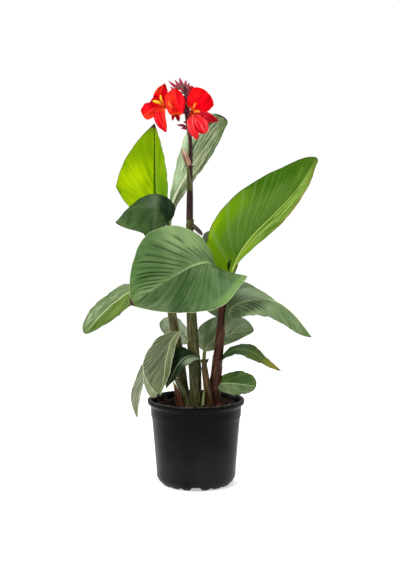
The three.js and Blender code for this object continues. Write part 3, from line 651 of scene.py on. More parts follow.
upperLeftLeaf = {
    "rib": [[-71, 20, 560], [-86, 22, 597], [-93, 28, 650], [-94, 32, 712], [-94, 32, 767], [-93, 28, 815]],
    "across": [-1, 0, 0], "leftHalf": 74, "rightHalf": 89, "leftLift": [60, 69, 60],
    "rightLift": [14, 8, 5], "leftPowers": [0.9, 1.35], "rightPowers": [0.39, 0.35, 0.3], "ragged": 0.006,
    "sweep": 3.0, "veinHeight": 0.6, "veinStep": 8.5, "seed": 3,
    "look": {
        "top": {
            "dark": (70, 120, 20), "light": (110, 160, 30), "vein": (130, 170, 50), "rib": (150, 180, 80),
        },
        # Painted light: the underside's bright yellow-green stands for light shining through the leaf, and
        # its left half is painted brighter still to make up for the shade it turns into.
        "under": {
            "dark": (120, 160, 0), "light": (172, 202, 0), "leftDark": (150, 224, 0),
            "leftLight": (204, 255, 10), "vein": (110, 156, 2), "rib": (58, 96, 2), "veinShow": 0.4,
            "areas": [
                [(112, 152, 2), (0.62, 1.1, 0.0, 1.1, 0.12), 0.75],
                [(196, 224, 4), (0.3, 0.55, 0.3, 0.8, 0.15), 0.5],
                [(216, 255, 90), (0.05, 0.9, -0.22, -0.08, 0.04), 0.45],
            ],
        },
        "margin": (58, 72, 18), "marginWidth": 1.5, "ribWidth": 3.2, "gloss": 0.02, "tipTint": (78, 96, 20),
        "brownFrom": 0.955, "stalkTone": (104, 110, 54),
    },
}
growLeaf("upperLeftLeaf", "leaf_upper_left", upperLeftLeaf)

archingLeftLeaf = {
    "rib": [
        [-66, 18, 515], [-61, 0, 556], [-63, -24, 592], [-80, -42, 616], [-108, -58, 626], [-143, -74, 619],
        [-174, -86, 596],
    ],
    "across": [0, 1, 0], "stalk": 0.38, "leftHalf": 78, "rightHalf": 52, "leftPowers": [0.7, 0.65],
    "rightPowers": [0.5, 1.3], "twist": [20, 62, 60], "leftLift": [0, 0, 0], "rightLift": [45, -40, -45],
    "veinHeight": 0.12, "ruffle": 0.3, "ragged": 0.004, "seed": 5,
    "look": {
        "top": {
            "dark": (40, 66, 30), "light": (60, 88, 44), "leftDark": (50, 76, 36),
            "leftLight": (72, 100, 54), "vein": (84, 110, 70), "rib": (64, 92, 50), "veinShow": 0.12,
            "areas": [
                [(22, 36, 20), (-0.1, 0.26, 0.1, 1.1, 0.08), 0.8],
                # A painted highlight: the pale band is the sheen across the leaf where it arches over.
                [(118, 138, 104), (0.26, 0.33, -0.9, 1.1, 0.05), 0.35],
                [(78, 106, 50), (0.45, 0.9, -1.1, -0.5, 0.15), 0.4],
            ],
        },
        "margin": (20, 30, 16), "marginWidth": 2.4, "gloss": 0.07, "brownFrom": 0.97,
        "baseTint": (48, 70, 44),
    },
}
growLeaf("archingLeftLeaf", "leaf_arching_left", archingLeftLeaf)

frontLargeLeaf = {
    "rib": [
        [61, 4, 425], [47, -22, 477], [29, -52, 506], [-4, -86, 504], [-40, -125, 487], [-86, -168, 459],
        [-135, -205, 430],
    ],
    "across": [-0.95, 0.3, 0], "stalk": 0.18, "leftHalf": 110, "rightHalf": 107, "leftPowers": [0.29, 0.88],
    "rightPowers": [1.1, 0.92], "ragged": 0.008, "sweep": 2.6, "twist": [82, 66, 56],
    "leftLift": [75, 0, 0], "rightLift": [0, 0, 0], "veinStep": 9.5, "veinHeight": 0.8,
    "creases": [
        {"reach": [0.3, 0.9], "share": [0.03, 0.85], "depth": 1.7, "pitch": 1.7},
        {"reach": [0.1, 0.5], "share": [0.05, 0.6], "depth": 1.1, "pitch": 1.1},
    ],
    "columns": 24, "seed": 7,
    "look": {
        "top": {
            "dark": (92, 126, 70), "light": (140, 170, 110), "leftDark": (58, 88, 44),
            "leftLight": (104, 134, 82), "vein": (146, 178, 128), "rib": (188, 224, 156),
            "areas": [
                [(168, 200, 134), (0.02, 0.5, 0.42, 1.1, 0.12), 0.75],
                [(146, 176, 122), (0.1, 0.4, 0.08, 0.45, 0.1), 0.5],
                [(66, 108, 42), (0.5, 0.95, 0.3, 1.1, 0.1), 0.6],
                [(128, 164, 84), (-0.1, 0.3, -1.1, -0.84, 0.07), 0.6],
                [(114, 152, 72), (-0.1, 0.08, -1.1, -0.5, 0.1), 0.6],
                [(56, 92, 38), (0.2, 0.66, -0.8, -0.2, 0.1), 0.5],
                [(150, 172, 126), (0.72, 1.0, -1.1, -0.5, 0.08), 0.3],
            ],
            "stripes": [[(214, 228, 190), (-0.1, 0.12, -1.1, -0.8, 0.03), 30.0, 0.55]], "veinShow": 0.16,
        },
        "margin": (178, 196, 146), "marginWidth": 1.4, "ribWidth": 3.2, "ribFade": (0.75, 0.15),
        "gloss": 0.12, "veinShow": 0.28, "baseTint": (128, 160, 96), "brownFrom": 0.975,
    },
}
growLeaf("frontLargeLeaf", "leaf_front_large", frontLargeLeaf)

upperRearLeaf = {
    "rib": [
        [-66, 20, 540], [-60, 30, 592], [-50, 44, 645], [-17, 58, 706], [14, 68, 752], [43, 78, 798],
        [66, 86, 831],
    ],
    "across": [-0.85, 0, 0.5], "leftHalf": 64, "rightHalf": 75, "leftPowers": [1.2, 0.6],
    "rightPowers": [2, 0.55], "sweep": 3.2, "leftLift": [58, 71, 66], "rightLift": [45, 46, 35],
    "veinHeight": 0.8, "seed": 9,
    "look": {
        "top": {
            "dark": (84, 118, 66), "light": (118, 148, 92), "vein": (150, 176, 124), "rib": (170, 190, 140),
        },
        "under": {
            "dark": (152, 180, 132), "light": (200, 218, 182), "leftDark": (104, 142, 70),
            "leftLight": (206, 222, 170), "vein": (116, 146, 90), "rib": (214, 222, 182), "veinShow": 0.4,
            "areas": [
                [(78, 104, 48), (0.0, 0.32, -1.1, 1.1, 0.06), 0.6],
                [(120, 150, 92), (0.3, 1.1, 0.0, 0.3, 0.08), 0.4],
            ],
            "stripes": [
                [(44, 84, 36), (0.02, 0.98, -0.95, 0.5, 0.06), 8.0, 0.54],
                [(228, 224, 188), (0.05, 1.0, -0.9, 0.4, 0.06), 11.0, 0.58],
                [(136, 104, 62), (0.35, 0.9, -0.8, 0.2, 0.06), 12.0, 0.64],
            ],
        },
        "margin": (150, 166, 96), "marginWidth": 1.6, "gloss": 0.1,
    },
}
growLeaf("upperRearLeaf", "leaf_upper_rear", upperRearLeaf)

tallRightLeaf = {
    "rib": [
        [70, 6, 456], [85, 0, 495], [100, -8, 528], [130, -16, 569], [184, -24, 623], [231, -26, 677],
        [267, -20, 737],
    ],
    "across": [0.74, -0.2, -0.67], "stalk": 0.07, "stalkHalf": 8, "leftHalf": 91, "rightHalf": 96,
    "leftLift": [10, 5, 0], "rightLift": [66, 68, 77], "leftPowers": [0.32, 0.6], "rightPowers": [1.2, 0.9],
    "ragged": 0.006, "ruffle": 0.5, "sweep": 3.6, "veinStep": 15, "veinHeight": 0.5, "columns": 24,
    "seed": 11,
    "look": {
        "top": {
            "dark": (78, 116, 18), "light": (130, 164, 66), "leftDark": (62, 106, 0),
            "leftLight": (100, 138, 40), "vein": (138, 168, 92), "rib": (180, 204, 104),
            "areas": [
                [(94, 134, 48), (0.12, 0.75, -0.62, -0.04, 0.14), 0.75],
                [(106, 154, 0), (-0.1, 0.45, -1.1, -0.62, 0.12), 0.8],
                [(150, 184, 10), (-0.1, 0.3, -1.1, -0.86, 0.08), 0.6],
                [(112, 152, 4), (-0.1, 0.12, -1.1, 0.0, 0.06), 0.7],
                [(58, 102, 0), (0.55, 1.1, -1.1, -0.5, 0.14), 0.75],
                [(150, 184, 24), (0.02, 0.3, 0.05, 1.1, 0.07), 0.6],
                [(196, 214, 116), (0.08, 0.5, 0.3, 0.42, 0.04), 0.5],
                # A painted shadow: a thin near-black slit stands for the shade in the gap between the left
                # half's foot and the rib.
                [(18, 30, 6), (-0.03, 0.085, -0.24, -0.13, 0.012), 1.0],
            ],
            "stripes": [
                [(138, 122, 40), (0.35, 0.98, 0.86, 1.1, 0.04), 5.0, 0.42],
                [(172, 196, 96), (0.3, 0.9, 0.06, 0.6, 0.06), 9.0, 0.55],
            ],
        },
        "margin": (62, 78, 14), "marginWidth": 1.9, "ribWidth": 1.8, "calm": (0.4, 0.1), "veinShow": 0.3,
        "gloss": 0.05, "baseTint": (126, 166, 12), "baseReach": 0.05, "stalkTone": (120, 150, 20),
        "tipTint": (78, 108, 22), "brownFrom": 0.993,
    },
}
growLeaf("tallRightLeaf", "leaf_tall_right", tallRightLeaf)

droopingRightLeaf = {
    "rib": [
        [55, 0, 338], [69, -10, 379], [81, -16, 404], [109, -26, 418], [147, -40, 425], [179, -52, 420],
        [212, -64, 396], [236, -72, 368], [253, -78, 345],
    ],
    "across": [-0.3, -0.9, 0], "leftHalf": 90, "rightHalf": 63, "leftPowers": [0.25, 1],
    "rightPowers": [0.35, 0.6], "leftLift": [88, -13, -25], "rightLift": [-25, -30, -30], "ragged": 0.03,
    "uneven": [(2.2, 0.9), (5, 0.5), (8, 0.3)], "veinStep": 7.5, "veinHeight": 0.6,
    "creases": [{"reach": [0.02, 0.6], "share": [0.03, 0.8], "depth": 1.0, "pitch": 1.4}], "seed": 13,
    "look": {
        "top": {
            "dark": (94, 122, 76), "light": (134, 156, 108), "leftDark": (86, 112, 72),
            "leftLight": (128, 150, 106), "vein": (158, 176, 128), "rib": (188, 208, 146),
            "areas": [[(148, 164, 122), (0.35, 0.9, -1.1, -0.5, 0.12), 0.5]],
        },
        "margin": (84, 90, 60), "marginWidth": 1.5, "ribWidth": 3.0, "gloss": 0.1,
        "stalkTone": (112, 92, 50), "baseTint": (150, 168, 96), "baseReach": 0.06,
    },
}
growLeaf("droopingRightLeaf", "leaf_drooping_right", droopingRightLeaf)

lowRearRightLeaf = {
    "rib": [
        [18, -26, 276], [20, -4, 303], [32, 20, 318], [55, 32, 329], [82, 40, 336], [108, 46, 342],
        [133, 52, 343],
    ],
    "across": [0.3, -0.9, 0], "stalk": 0.2, "leftHalf": 48, "rightHalf": 21, "twist": [-70, -72, -70],
    "leftLift": [5, 5, 5], "rightLift": [5, 5, 5], "basePower": 0.45, "tipPower": 0.6, "veinStep": 6.0,
    "veinHeight": 0.35, "seed": 15,
    "look": {
        "top": {
            "dark": (112, 140, 88), "light": (158, 178, 126), "leftDark": (106, 132, 82),
            "leftLight": (176, 194, 152), "vein": (122, 150, 108), "rib": (184, 198, 152),
            "areas": [[(176, 190, 156), (0.5, 1.1, -1.1, -0.2, 0.12), 0.5]],
        },
        "margin": (46, 58, 32), "marginWidth": 1.4, "ribWidth": 2.0,
    },
}
growLeaf("lowRearRightLeaf", "leaf_low_rear_right", lowRearRightLeaf)

farLeftLeaf = {
    "rib": [
        [-57, 15, 405], [-104, 0, 443], [-147, -15, 438], [-174, -25, 421], [-194, -32, 405],
        [-223, -42, 375], [-246, -50, 349],
    ],
    "across": [-0.25, 0.95, 0], "leftHalf": 54, "rightHalf": 52, "twist": [28, 28, 28],
    "leftPowers": [0.6, 0.66], "rightPowers": [0.7, 0.5], "rightLift": [-14, -10, -4], "veinStep": 7.5,
    "seed": 17,
    "look": {
        "top": {
            "dark": (76, 102, 58), "light": (122, 142, 96), "leftDark": (60, 90, 16),
            "leftLight": (106, 130, 48), "vein": (148, 166, 122), "rib": (200, 208, 156),
            "stripes": [[(190, 200, 164), (0.2, 0.9, 0.1, 0.9, 0.08), 7.0, 0.58]],
        },
        "margin": (40, 54, 24), "marginWidth": 1.5, "ribWidth": 2.8, "gloss": 0.1,
    },
}
growLeaf("farLeftLeaf", "leaf_far_left", farLeftLeaf)

rearLeftLeaf = {
    "rib": [[-4, -12, 284], [-7, 12, 304], [-17, 38, 322], [-38, 56, 338], [-62, 66, 350], [-85, 72, 356]],
    "across": [0, -0.2, 1], "stalk": 0.4, "leftHalf": 29, "rightHalf": 31, "basePower": 0.6,
    "tipPower": 0.6, "veinStep": 7.0, "seed": 19,
    "look": {
        # Painted light: both faces are painted paler than the leaf is, to make up for the shade it sits in.
        "top": {
            "dark": (170, 196, 146), "light": (214, 228, 194), "vein": (180, 204, 156),
            "rib": (226, 236, 204),
        },
        "under": {
            "dark": (170, 196, 146), "light": (214, 228, 194), "vein": (180, 204, 156),
            "rib": (226, 236, 204),
        },
        "margin": (130, 150, 100),
    },
}
growLeaf("rearLeftLeaf", "leaf_rear_left", rearLeftLeaf)

hangingLeftLeaf = {
    "rib": [
        [-6, -11, 318], [-31, -28, 350], [-45, -42, 345], [-56, -56, 332], [-61, -68, 314], [-66, -78, 294],
        [-70, -86, 260], [-78, -90, 217],
    ],
    "across": [-1, 0.2, 0], "leftHalf": 15, "rightHalf": 52, "leftPowers": [1.3, 1.2],
    "rightPowers": [1.4, 0.8], "leftLift": [-20, -30, -30], "rightLift": [-5, -5, -5], "veinStep": 7.0,
    "veinHeight": 0.7, "seed": 21,
    "look": {
        "top": {
            "dark": (66, 76, 50), "light": (108, 116, 86), "leftDark": (88, 100, 60),
            "leftLight": (130, 140, 98), "vein": (158, 166, 130), "rib": (160, 170, 126),
            "areas": [[(66, 84, 44), (0.05, 0.5, 0.4, 1.1, 0.12), 0.5]],
        },
        "margin": (202, 208, 176), "marginWidth": 1.6, "ribWidth": 1.8, "veinShow": 0.7, "gloss": 0.08,
    },
}
growLeaf("hangingLeftLeaf", "leaf_hanging_left", hangingLeftLeaf)

hangingInnerLeaf = {
    "rib": [
        [-36, 13, 262], [-62, -8, 304], [-86, -32, 304], [-98, -44, 276], [-98, -50, 237], [-94, -52, 204],
    ],
    "across": [-0.8, 0.5, 0], "leftHalf": 21, "rightHalf": 21, "basePower": 1, "tipPower": 0.5,
    "veinStep": 6.0, "veinHeight": 0.4, "columns": 10, "seed": 23,
    "look": {
        "top": {
            "dark": (92, 104, 76), "light": (148, 158, 124), "vein": (156, 166, 130),
            "rib": (180, 188, 150),
        },
        "margin": (196, 204, 168), "marginWidth": 1.2,
    },
}
growLeaf("hangingInnerLeaf", "leaf_hanging_inner", hangingInnerLeaf)

hangingOuterLeaf = {
    "rib": [
        [-42, 13, 296], [-71, 4, 310], [-91, -4, 298], [-103, -12, 272], [-116, -18, 243], [-127, -24, 206],
        [-133, -26, 155],
    ],
    "across": [-0.7, 0.6, 0], "leftHalf": 20, "rightHalf": 20, "leftLift": [45, 45, 45],
    "rightLift": [45, 45, 45], "basePower": 1.2, "tipPower": 0.8, "veinStep": 6.0, "veinHeight": 0.4,
    "columns": 10, "seed": 25,
    "look": {
        "top": {
            "dark": (104, 114, 84), "light": (156, 164, 136), "vein": (164, 172, 142),
            "rib": (186, 194, 160),
        },
        "under": {
            "dark": (116, 130, 92), "light": (170, 178, 148), "vein": (150, 164, 128),
            "rib": (190, 198, 160),
        },
        "margin": (78, 92, 48),
    },
}
growLeaf("hangingOuterLeaf", "leaf_hanging_outer", hangingOuterLeaf)

lowLeftLeaf = {
    "rib": [
        [18, -26, 280], [2, -42, 296], [-15, -52, 299], [-31, -56, 291], [-44, -60, 274], [-55, -62, 252],
        [-66, -64, 228],
    ],
    "across": [-0.69, 0.58, 0.26], "leftHalf": 17, "rightHalf": 34, "leftLift": [-30, -30, -30],
    "rightLift": [10, 10, 10], "veinStep": 6.0, "veinHeight": 0.4, "columns": 10, "seed": 27,
    "look": {
        # Painted shade: the top is painted near black for the shade this leaf hangs in.
        "top": {
            "dark": (16, 30, 12), "light": (36, 54, 28), "leftDark": (24, 38, 18),
            "leftLight": (48, 62, 36), "vein": (44, 62, 36), "rib": (128, 142, 108),
            "areas": [[(150, 160, 132), (0.02, 0.42, -1.1, -0.25, 0.1), 0.85]],
        },
        "margin": (30, 42, 24), "ribWidth": 1.8, "gloss": 0.08,
    },
}
growLeaf("lowLeftLeaf", "leaf_low_left", lowLeftLeaf)

narrowRightLeaf = {
    "rib": [
        [47, 0, 262], [59, -10, 288], [74, -18, 303], [94, -26, 311], [116, -34, 309], [138, -42, 298],
        [162, -48, 281], [190, -52, 265],
    ],
    "across": [-0.3, -0.81, -0.25], "leftHalf": 22, "rightHalf": 24, "leftLift": [10, 10, 10],
    "rightLift": [-10, -10, -10], "veinStep": 6.0, "veinHeight": 0.35, "columns": 10, "seed": 29,
    "look": {
        "top": {
            "dark": (36, 62, 30), "light": (72, 104, 56), "vein": (92, 122, 66), "rib": (116, 138, 66),
            "areas": [
                [(150, 138, 36), (0.72, 1.2, -1.1, 1.1, 0.06), 0.85],
                [(96, 116, 40), (0.5, 0.8, -1.1, 1.1, 0.06), 0.5],
            ],
        },
        "margin": (52, 60, 26), "tipTint": (120, 84, 30), "tipReach": 0.9, "brownFrom": 0.94,
        "stalkTone": (60, 62, 34),
    },
}
growLeaf("narrowRightLeaf", "leaf_narrow_right", narrowRightLeaf)

roundRightLeaf = {
    "rib": [[42, 1, 218], [55, -10, 229], [73, -20, 232], [98, -32, 232], [122, -42, 231], [134, -46, 230]],
    "across": [-0.26, -0.585, -0.635], "leftHalf": 33, "rightHalf": 33, "basePower": 0.5, "tipPower": 0.45,
    "veinStep": 6.0, "veinHeight": 0.35, "seed": 31,
    "look": {
        "top": {
            "dark": (84, 104, 66), "light": (120, 138, 98), "leftDark": (34, 62, 14),
            "leftLight": (72, 104, 36), "vein": (122, 142, 98), "rib": (150, 168, 120),
        },
        "margin": (26, 34, 14), "marginWidth": 1.3, "gloss": 0.1,
    },
}
growLeaf("roundRightLeaf", "leaf_round_right", roundRightLeaf)

rearMiddleLeaf = {
    "rib": [[65, 5, 448], [63, 28, 490], [51, 48, 534], [26, 66, 570]], "across": [0.8, 0.4, 0],
    "leftHalf": 42, "rightHalf": 42, "tipPower": 0.5, "veinStep": 7.0, "seed": 33,
    "look": {
        "top": {
            "dark": (74, 94, 72), "light": (112, 130, 108), "vein": (130, 146, 124), "rib": (140, 160, 120),
        },
        "margin": (90, 108, 80),
    },
}
growLeaf("rearMiddleLeaf", "leaf_rear_middle", rearMiddleLeaf)
print("sixteen leaves grown")

# Stems: a fibrous rod, with rings where leaves were attached and old leaf sheaths lapping it.

stemBasics = {
    "ridge": 0.25,  # how far the fibres stand out
    "ridges": 17,
    "sides": 40,
    "step": 3.0,
    "nodes": [],  # heights of the rings where a leaf was or is attached
    "nodeSwell": 0.7,
    "laps": [],  # sheaths: heights of foot and top, where they face, half spread at foot and top, and lift
}
lapMesh = {"rows": 26, "columns": 25, "thick": 0.45, "gap": 0.3, "sunk": 0.2}
stemGrain = {
    "gloss": 0.18,
    "alongScale": 0.02,
    "cloud": 30.0,
    "patch": (0.38, 0.62),  # where dark turns to light
    "fleckScale": 220.0,
    "fleckShow": 0.35,
    "bumpDepth": 0.0012,
}


def around(first, second, turn):
    # Directions square to a line, at angles counted from its first to its second side direction.
    return first[:, None] * np.cos(turn)[..., None] + second[:, None] * np.sin(turn)[..., None]


def rodRings(points, radii, sides, step, extra=None):
    # Points of the rings with the two poles after them, how far along each ring lies, and the rings' own map.
    curve = Curve(points)
    rows = max(4, round(curve.length / step) + 1)
    u = np.linspace(0, 1, rows)
    tangent = curve.tangent(u)
    middle = curve.tangent(np.array([0.5]))[0]
    reference = np.array([1.0, 0, 0]) if abs(middle[2]) > 0.7 else np.array([0, 0, 1.0])
    first = unit(reference - tangent * (tangent @ reference)[:, None])
    turn = 2 * np.pi * np.arange(sides)[None] / sides
    out = around(first, np.cross(tangent, first), turn)
    centre = curve.at(u)
    radius = np.interp(u, np.linspace(0, 1, len(radii)), radii)[:, None] * np.ones(sides)
    along = u[:, None] * curve.length
    if extra is not None:
        radius = radius + extra(centre[:, None, :] + 0 * out, along, turn)
    rings = centre[:, None] + out * radius[..., None]
    places = np.vstack([rings.reshape(-1, 3), curve.at(np.array([0.0, 1.0]))])
    wrap = np.stack(np.broadcast_arrays(np.cos(turn), np.sin(turn), along), -1)
    return places, u, wrap


def addRod(shape, points, radii, sides, step, extra, layer=0.0, mark=0.0):
    places, u, wrap = rodRings(points, radii, sides, step, extra)
    bark = np.stack(np.broadcast_arrays(u[:, None], layer, mark + 0 * wrap[..., 0]), -1)
    wraps = np.vstack([wrap.reshape(-1, 3), [[0, 0, 0], [0, 0, wrap[-1, 0, 2]]]])
    barks = np.vstack([bark.reshape(-1, 3), [[0, layer, mark], [1, layer, mark]]])
    shape.add(places, tubeFaces(len(u), sides), wrap=wraps, bark=barks)


def addLap(shape, stem, lap, seed):
    # A leaf's sheath on the stem below the leaf: closed round at its foot, open and standing off at its top.
    curve = Curve(stem["points"])
    rows, columns = lapMesh["rows"], lapMesh["columns"]
    heights = curve.at(np.linspace(0, 1, 400))[:, 2]
    u = np.interp(np.linspace(lap["from"], lap["to"], rows), heights, np.linspace(0, 1, 400))
    t = np.linspace(0, 1, rows)[:, None]
    side = np.linspace(-1, 1, columns)[None, :]
    footSpread, topSpread = lap["spread"]
    spread = np.radians(footSpread + (topSpread - footSpread) * t**1.3)
    spread = spread * (1 + 0.04 * ripples(t, seed, [(2, 1), (5, 0.5)]))
    turn = math.radians(lap["facing"]) + side * spread
    radius = np.interp(u, np.linspace(0, 1, len(stem["radii"])), stem["radii"])[:, None]
    lift = lapMesh["gap"] + lap["lift"] * t**1.6 * (0.45 + 0.55 * np.abs(side) ** 2)
    fibre = stem["ridge"] * 0.8 * np.sin(stem["ridges"] * turn + seed) * (1 - side**4)
    tangent = curve.tangent(u)
    first = unit(np.array([1.0, 0, 0]) - tangent * tangent[:, :1])
    out = around(first, np.cross(tangent, first), turn)
    centre = curve.at(u)[:, None]
    outer = centre + out * (radius + lift + lapMesh["thick"] + fibre)[..., None]
    inner = centre + out * (radius + lift - lapMesh["sunk"])[..., None]
    edge = (1 - np.abs(side)) * spread * radius
    along = np.broadcast_to(u[:, None] * curve.length, turn.shape)
    wrap = np.stack([np.cos(turn), np.sin(turn), along], -1).reshape(-1, 3)
    bark = np.stack(np.broadcast_arrays(u[:, None], 1.0, edge), -1).reshape(-1, 3)
    points = np.vstack([outer.reshape(-1, 3), inner.reshape(-1, 3)])
    # Columns run the way the angle grows, so the outer face looks out.
    faces = sheetFaces(rows, columns)
    shape.add(points, faces, wrap=np.vstack([wrap, wrap]), bark=np.vstack([bark, bark]))


def stemSkin(name, look):
    # Fibrous streaks up the stem, with its own colours at foot and head.
    # The sheaths have colours of their own and thin dry edges.
    skin, tree, shader, place = newSkin(name, stemGrain["gloss"], look["roughness"])
    x, y, along = parts(tree, "wrap")
    reach, layer, edge = parts(tree, "bark")
    turned = [times(tree, value, look["threads"]) for value in (x, y)]
    streak = noise(tree, joined(tree, *turned, times(tree, along, stemGrain["alongScale"])), 1.0, 4.0)
    cloud = noise(tree, place, stemGrain["cloud"], 4.0)
    mixed = plus(tree, times(tree, streak, 0.75), times(tree, cloud, 0.25))
    patch = ease(tree, mixed, *stemGrain["patch"])

    def bark(part):
        return blend(tree, patch, paint(look[part + "Dark"]), paint(look[part + "Light"]))

    colour = blend(tree, ease(tree, reach, *look["change"]), bark("foot"), bark("head"))
    colour = blend(tree, times(tree, layer, look["lapShow"]), colour, bark("lap"))
    rim = times(tree, ease(tree, edge, 1.3, 0.3), layer)
    colour = blend(tree, rim, colour, paint(look["rim"]))
    fleck = ease(tree, noise(tree, place, stemGrain["fleckScale"], 2.0), 0.66, 0.72)
    colour = blend(tree, times(tree, fleck, stemGrain["fleckShow"]), colour, paint(look["fleck"]))
    rough = ease(tree, cloud, 0.3, 0.7, look["roughness"] - 0.08, look["roughness"] + 0.1)
    finishSkin(tree, shader, colour, rough, streak, stemGrain["bumpDepth"], 0.6)
    return skin


def raiseStem(name, node, given):
    stem = {**stemBasics, **given}

    def fibres(centre, along, turn):
        # Each ring is a swelling with a shallow groove above it.
        swell = 0
        for ring in stem["nodes"]:
            above = centre[..., 2] - ring
            bulge = np.exp(-((above / 2.4) ** 2)) - 0.5 * np.exp(-(((above - 6) / 3) ** 2))
            swell = swell + stem["nodeSwell"] * bulge
        ridge = stem["ridge"] * np.sin(stem["ridges"] * turn + 0.02 * along) * np.sin(5 * turn + 1)
        return swell + ridge

    shape = Shape()
    addRod(shape, stem["points"], stem["radii"], stem["sides"], stem["step"], fibres, mark=9.0)
    for k, lap in enumerate(stem["laps"]):
        addLap(shape, stem, lap, k + 3)
    shape.piece(name, stemSkin(name + "Skin", stem["bark"]), [node])


greenBark = {
    "footDark": (42, 40, 22), "footLight": (92, 88, 50), "headDark": (24, 10, 12),
    "headLight": (66, 36, 34), "change": (0.5, 0.72), "lapDark": (46, 48, 22), "lapLight": (96, 100, 50),
    "lapShow": 0.8, "rim": (150, 140, 96), "fleck": (44, 30, 24), "threads": 5.0, "roughness": 0.45,
}
redBark = {
    "footDark": (38, 18, 14), "footLight": (88, 44, 32), "headDark": (40, 18, 16),
    "headLight": (96, 50, 38), "change": (0.3, 0.6), "lapDark": (48, 26, 18), "lapLight": (104, 62, 38),
    "lapShow": 0.7, "rim": (150, 112, 72), "fleck": (34, 16, 16), "threads": 5.0, "roughness": 0.42,
}

floweringStem = {
    "points": [
        [1, -12, 135], [0, -12, 183], [-3, -12, 277], [-10, -10, 388], [-13, -6, 491], [-14, -4, 600],
        [-13, -2, 700], [-12, 0, 760], [-14, 0, 790],
    ],
    "radii": [13, 13, 12.5, 11.5, 9.5, 8.4, 8, 7.4, 5, 4.2], "nodes": [718, 588], "nodeSwell": 1.2,
    "laps": [
        {"from": 190, "to": 290, "facing": 110, "spread": [165, 75], "lift": 2.0},
        {"from": 236, "to": 324, "facing": 215, "spread": [160, 60], "lift": 2.4},
        {"from": 330, "to": 470, "facing": 40, "spread": [165, 120], "lift": 0.8},
        {"from": 560, "to": 600, "facing": -50, "spread": [150, 60], "lift": 1.4},
        {"from": 664, "to": 716, "facing": 190, "spread": [125, 50], "lift": 2.6},
    ],
    "bark": greenBark,
}
raiseStem("floweringStem", "stem_flowering", floweringStem)

leftStem = {
    "points": [
        [-18, 16, 135], [-24, 14, 180], [-34, 12, 262], [-53, 14, 381], [-64, 18, 490], [-70, 20, 566],
    ],
    "radii": [10, 10.5, 10.5, 10, 8.5, 6.5, 5],
    "laps": [
        {"from": 184, "to": 266, "facing": 205, "spread": [160, 60], "lift": 2.0},
        {"from": 200, "to": 300, "facing": 190, "spread": [165, 60], "lift": 2.2},
        {"from": 300, "to": 410, "facing": 195, "spread": [165, 70], "lift": 2.4},
        {"from": 410, "to": 520, "facing": -70, "spread": [165, 90], "lift": 1.6},
    ],
    "bark": {**greenBark, "headDark": (70, 40, 26), "headLight": (106, 84, 46), "lapLight": (104, 98, 52)},
}
raiseStem("leftStem", "stem_left", leftStem)

rightStem = {
    "points": [[36, 4, 135], [39, 2, 190], [47.5, 0, 270], [55, 0, 345], [62, 4, 430], [76, 6, 478]],
    "radii": [16.5, 16, 12, 10, 9, 8, 7],
    "laps": [
        {"from": 182, "to": 224, "facing": -30, "spread": [150, 55], "lift": 2.0},
        {"from": 192, "to": 268, "facing": -40, "spread": [160, 60], "lift": 1.8},
        {"from": 262, "to": 345, "facing": -35, "spread": [165, 55], "lift": 2.6},
        {"from": 340, "to": 436, "facing": 230, "spread": [165, 80], "lift": 1.4},
    ],
    "bark": redBark,
}
raiseStem("rightStem", "stem_right", rightStem)

sideStem = {
    "points": [[28, -23, 140], [28, -24, 184], [24, -26, 235], [17, -26, 288]],
    "radii": [8.5, 8.5, 7.2, 5.5], "sides": 28,
    "laps": [{"from": 184, "to": 270, "facing": 150, "spread": [165, 80], "lift": 1.4}],
    "bark": {**redBark, "headDark": (46, 38, 18), "headLight": (100, 84, 42), "lapLight": (92, 66, 36)},
}
raiseStem("sideStem", "stem_side", sideStem)

youngShoot = {
    "points": [[-34, -26, 145], [-36, -27, 183], [-42, -31, 210], [-51, -34, 239]],
    "radii": [8.5, 8.5, 7.5, 4.5, 1.2], "sides": 28,
    "laps": [{"from": 180, "to": 232, "facing": 20, "spread": [150, 50], "lift": 0.5}],
    "bark": {
        **redBark, "footDark": (70, 34, 20), "footLight": (130, 70, 40), "headDark": (176, 160, 60),
        "headLight": (232, 222, 150), "change": (0.82, 0.95), "lapDark": (84, 42, 24),
        "lapLight": (146, 88, 48), "rim": (186, 150, 92),
    },
}
raiseStem("youngShoot", "shoot_young", youngShoot)

slantingShoot = {
    "points": [[-19, -19, 145], [-21, -20, 182], [-30, -23, 212], [-46, -27, 244]],
    "radii": [5.8, 5.8, 6.4, 4], "sides": 28,
    "laps": [{"from": 182, "to": 238, "facing": 70, "spread": [140, 60], "lift": 0.8}],
    "bark": {
        **greenBark, "footDark": (58, 58, 30), "footLight": (112, 112, 66), "headDark": (78, 82, 48),
        "headLight": (156, 158, 112), "lapDark": (70, 72, 40), "lapLight": (150, 150, 100),
    },
}
raiseStem("slantingShoot", "shoot_slanting", slantingShoot)

spearShoot = {
    "points": [[15, -40, 150], [16, -40, 190], [19, -39, 222]], "radii": [3.6, 3.8, 2.6, 0.8], "sides": 24,
    "laps": [{"from": 172, "to": 216, "facing": 200, "spread": [130, 40], "lift": 0.3}],
    "bark": {
        **greenBark, "footDark": (98, 110, 64), "footLight": (140, 150, 98), "headDark": (92, 116, 50),
        "headLight": (142, 160, 88), "lapDark": (104, 120, 68), "lapLight": (150, 162, 106),
        "rim": (170, 176, 130),
    },
}
raiseStem("spearShoot", "shoot_spear", spearShoot)

# The dried foot of a cut leaf stalk, where the side stem forks.
cutStalk = {
    "points": [[19, -26, 277], [24, -27, 284], [28, -27, 289]],
    "radii": [3.4, 3.2, 3.6, 2.6, 0.6], "sides": 16, "step": 1.0,
    "bark": {
        **greenBark, "footDark": (26, 24, 20), "footLight": (60, 54, 38),
        "headDark": (20, 16, 14), "headLight": (52, 44, 34),
    },
}


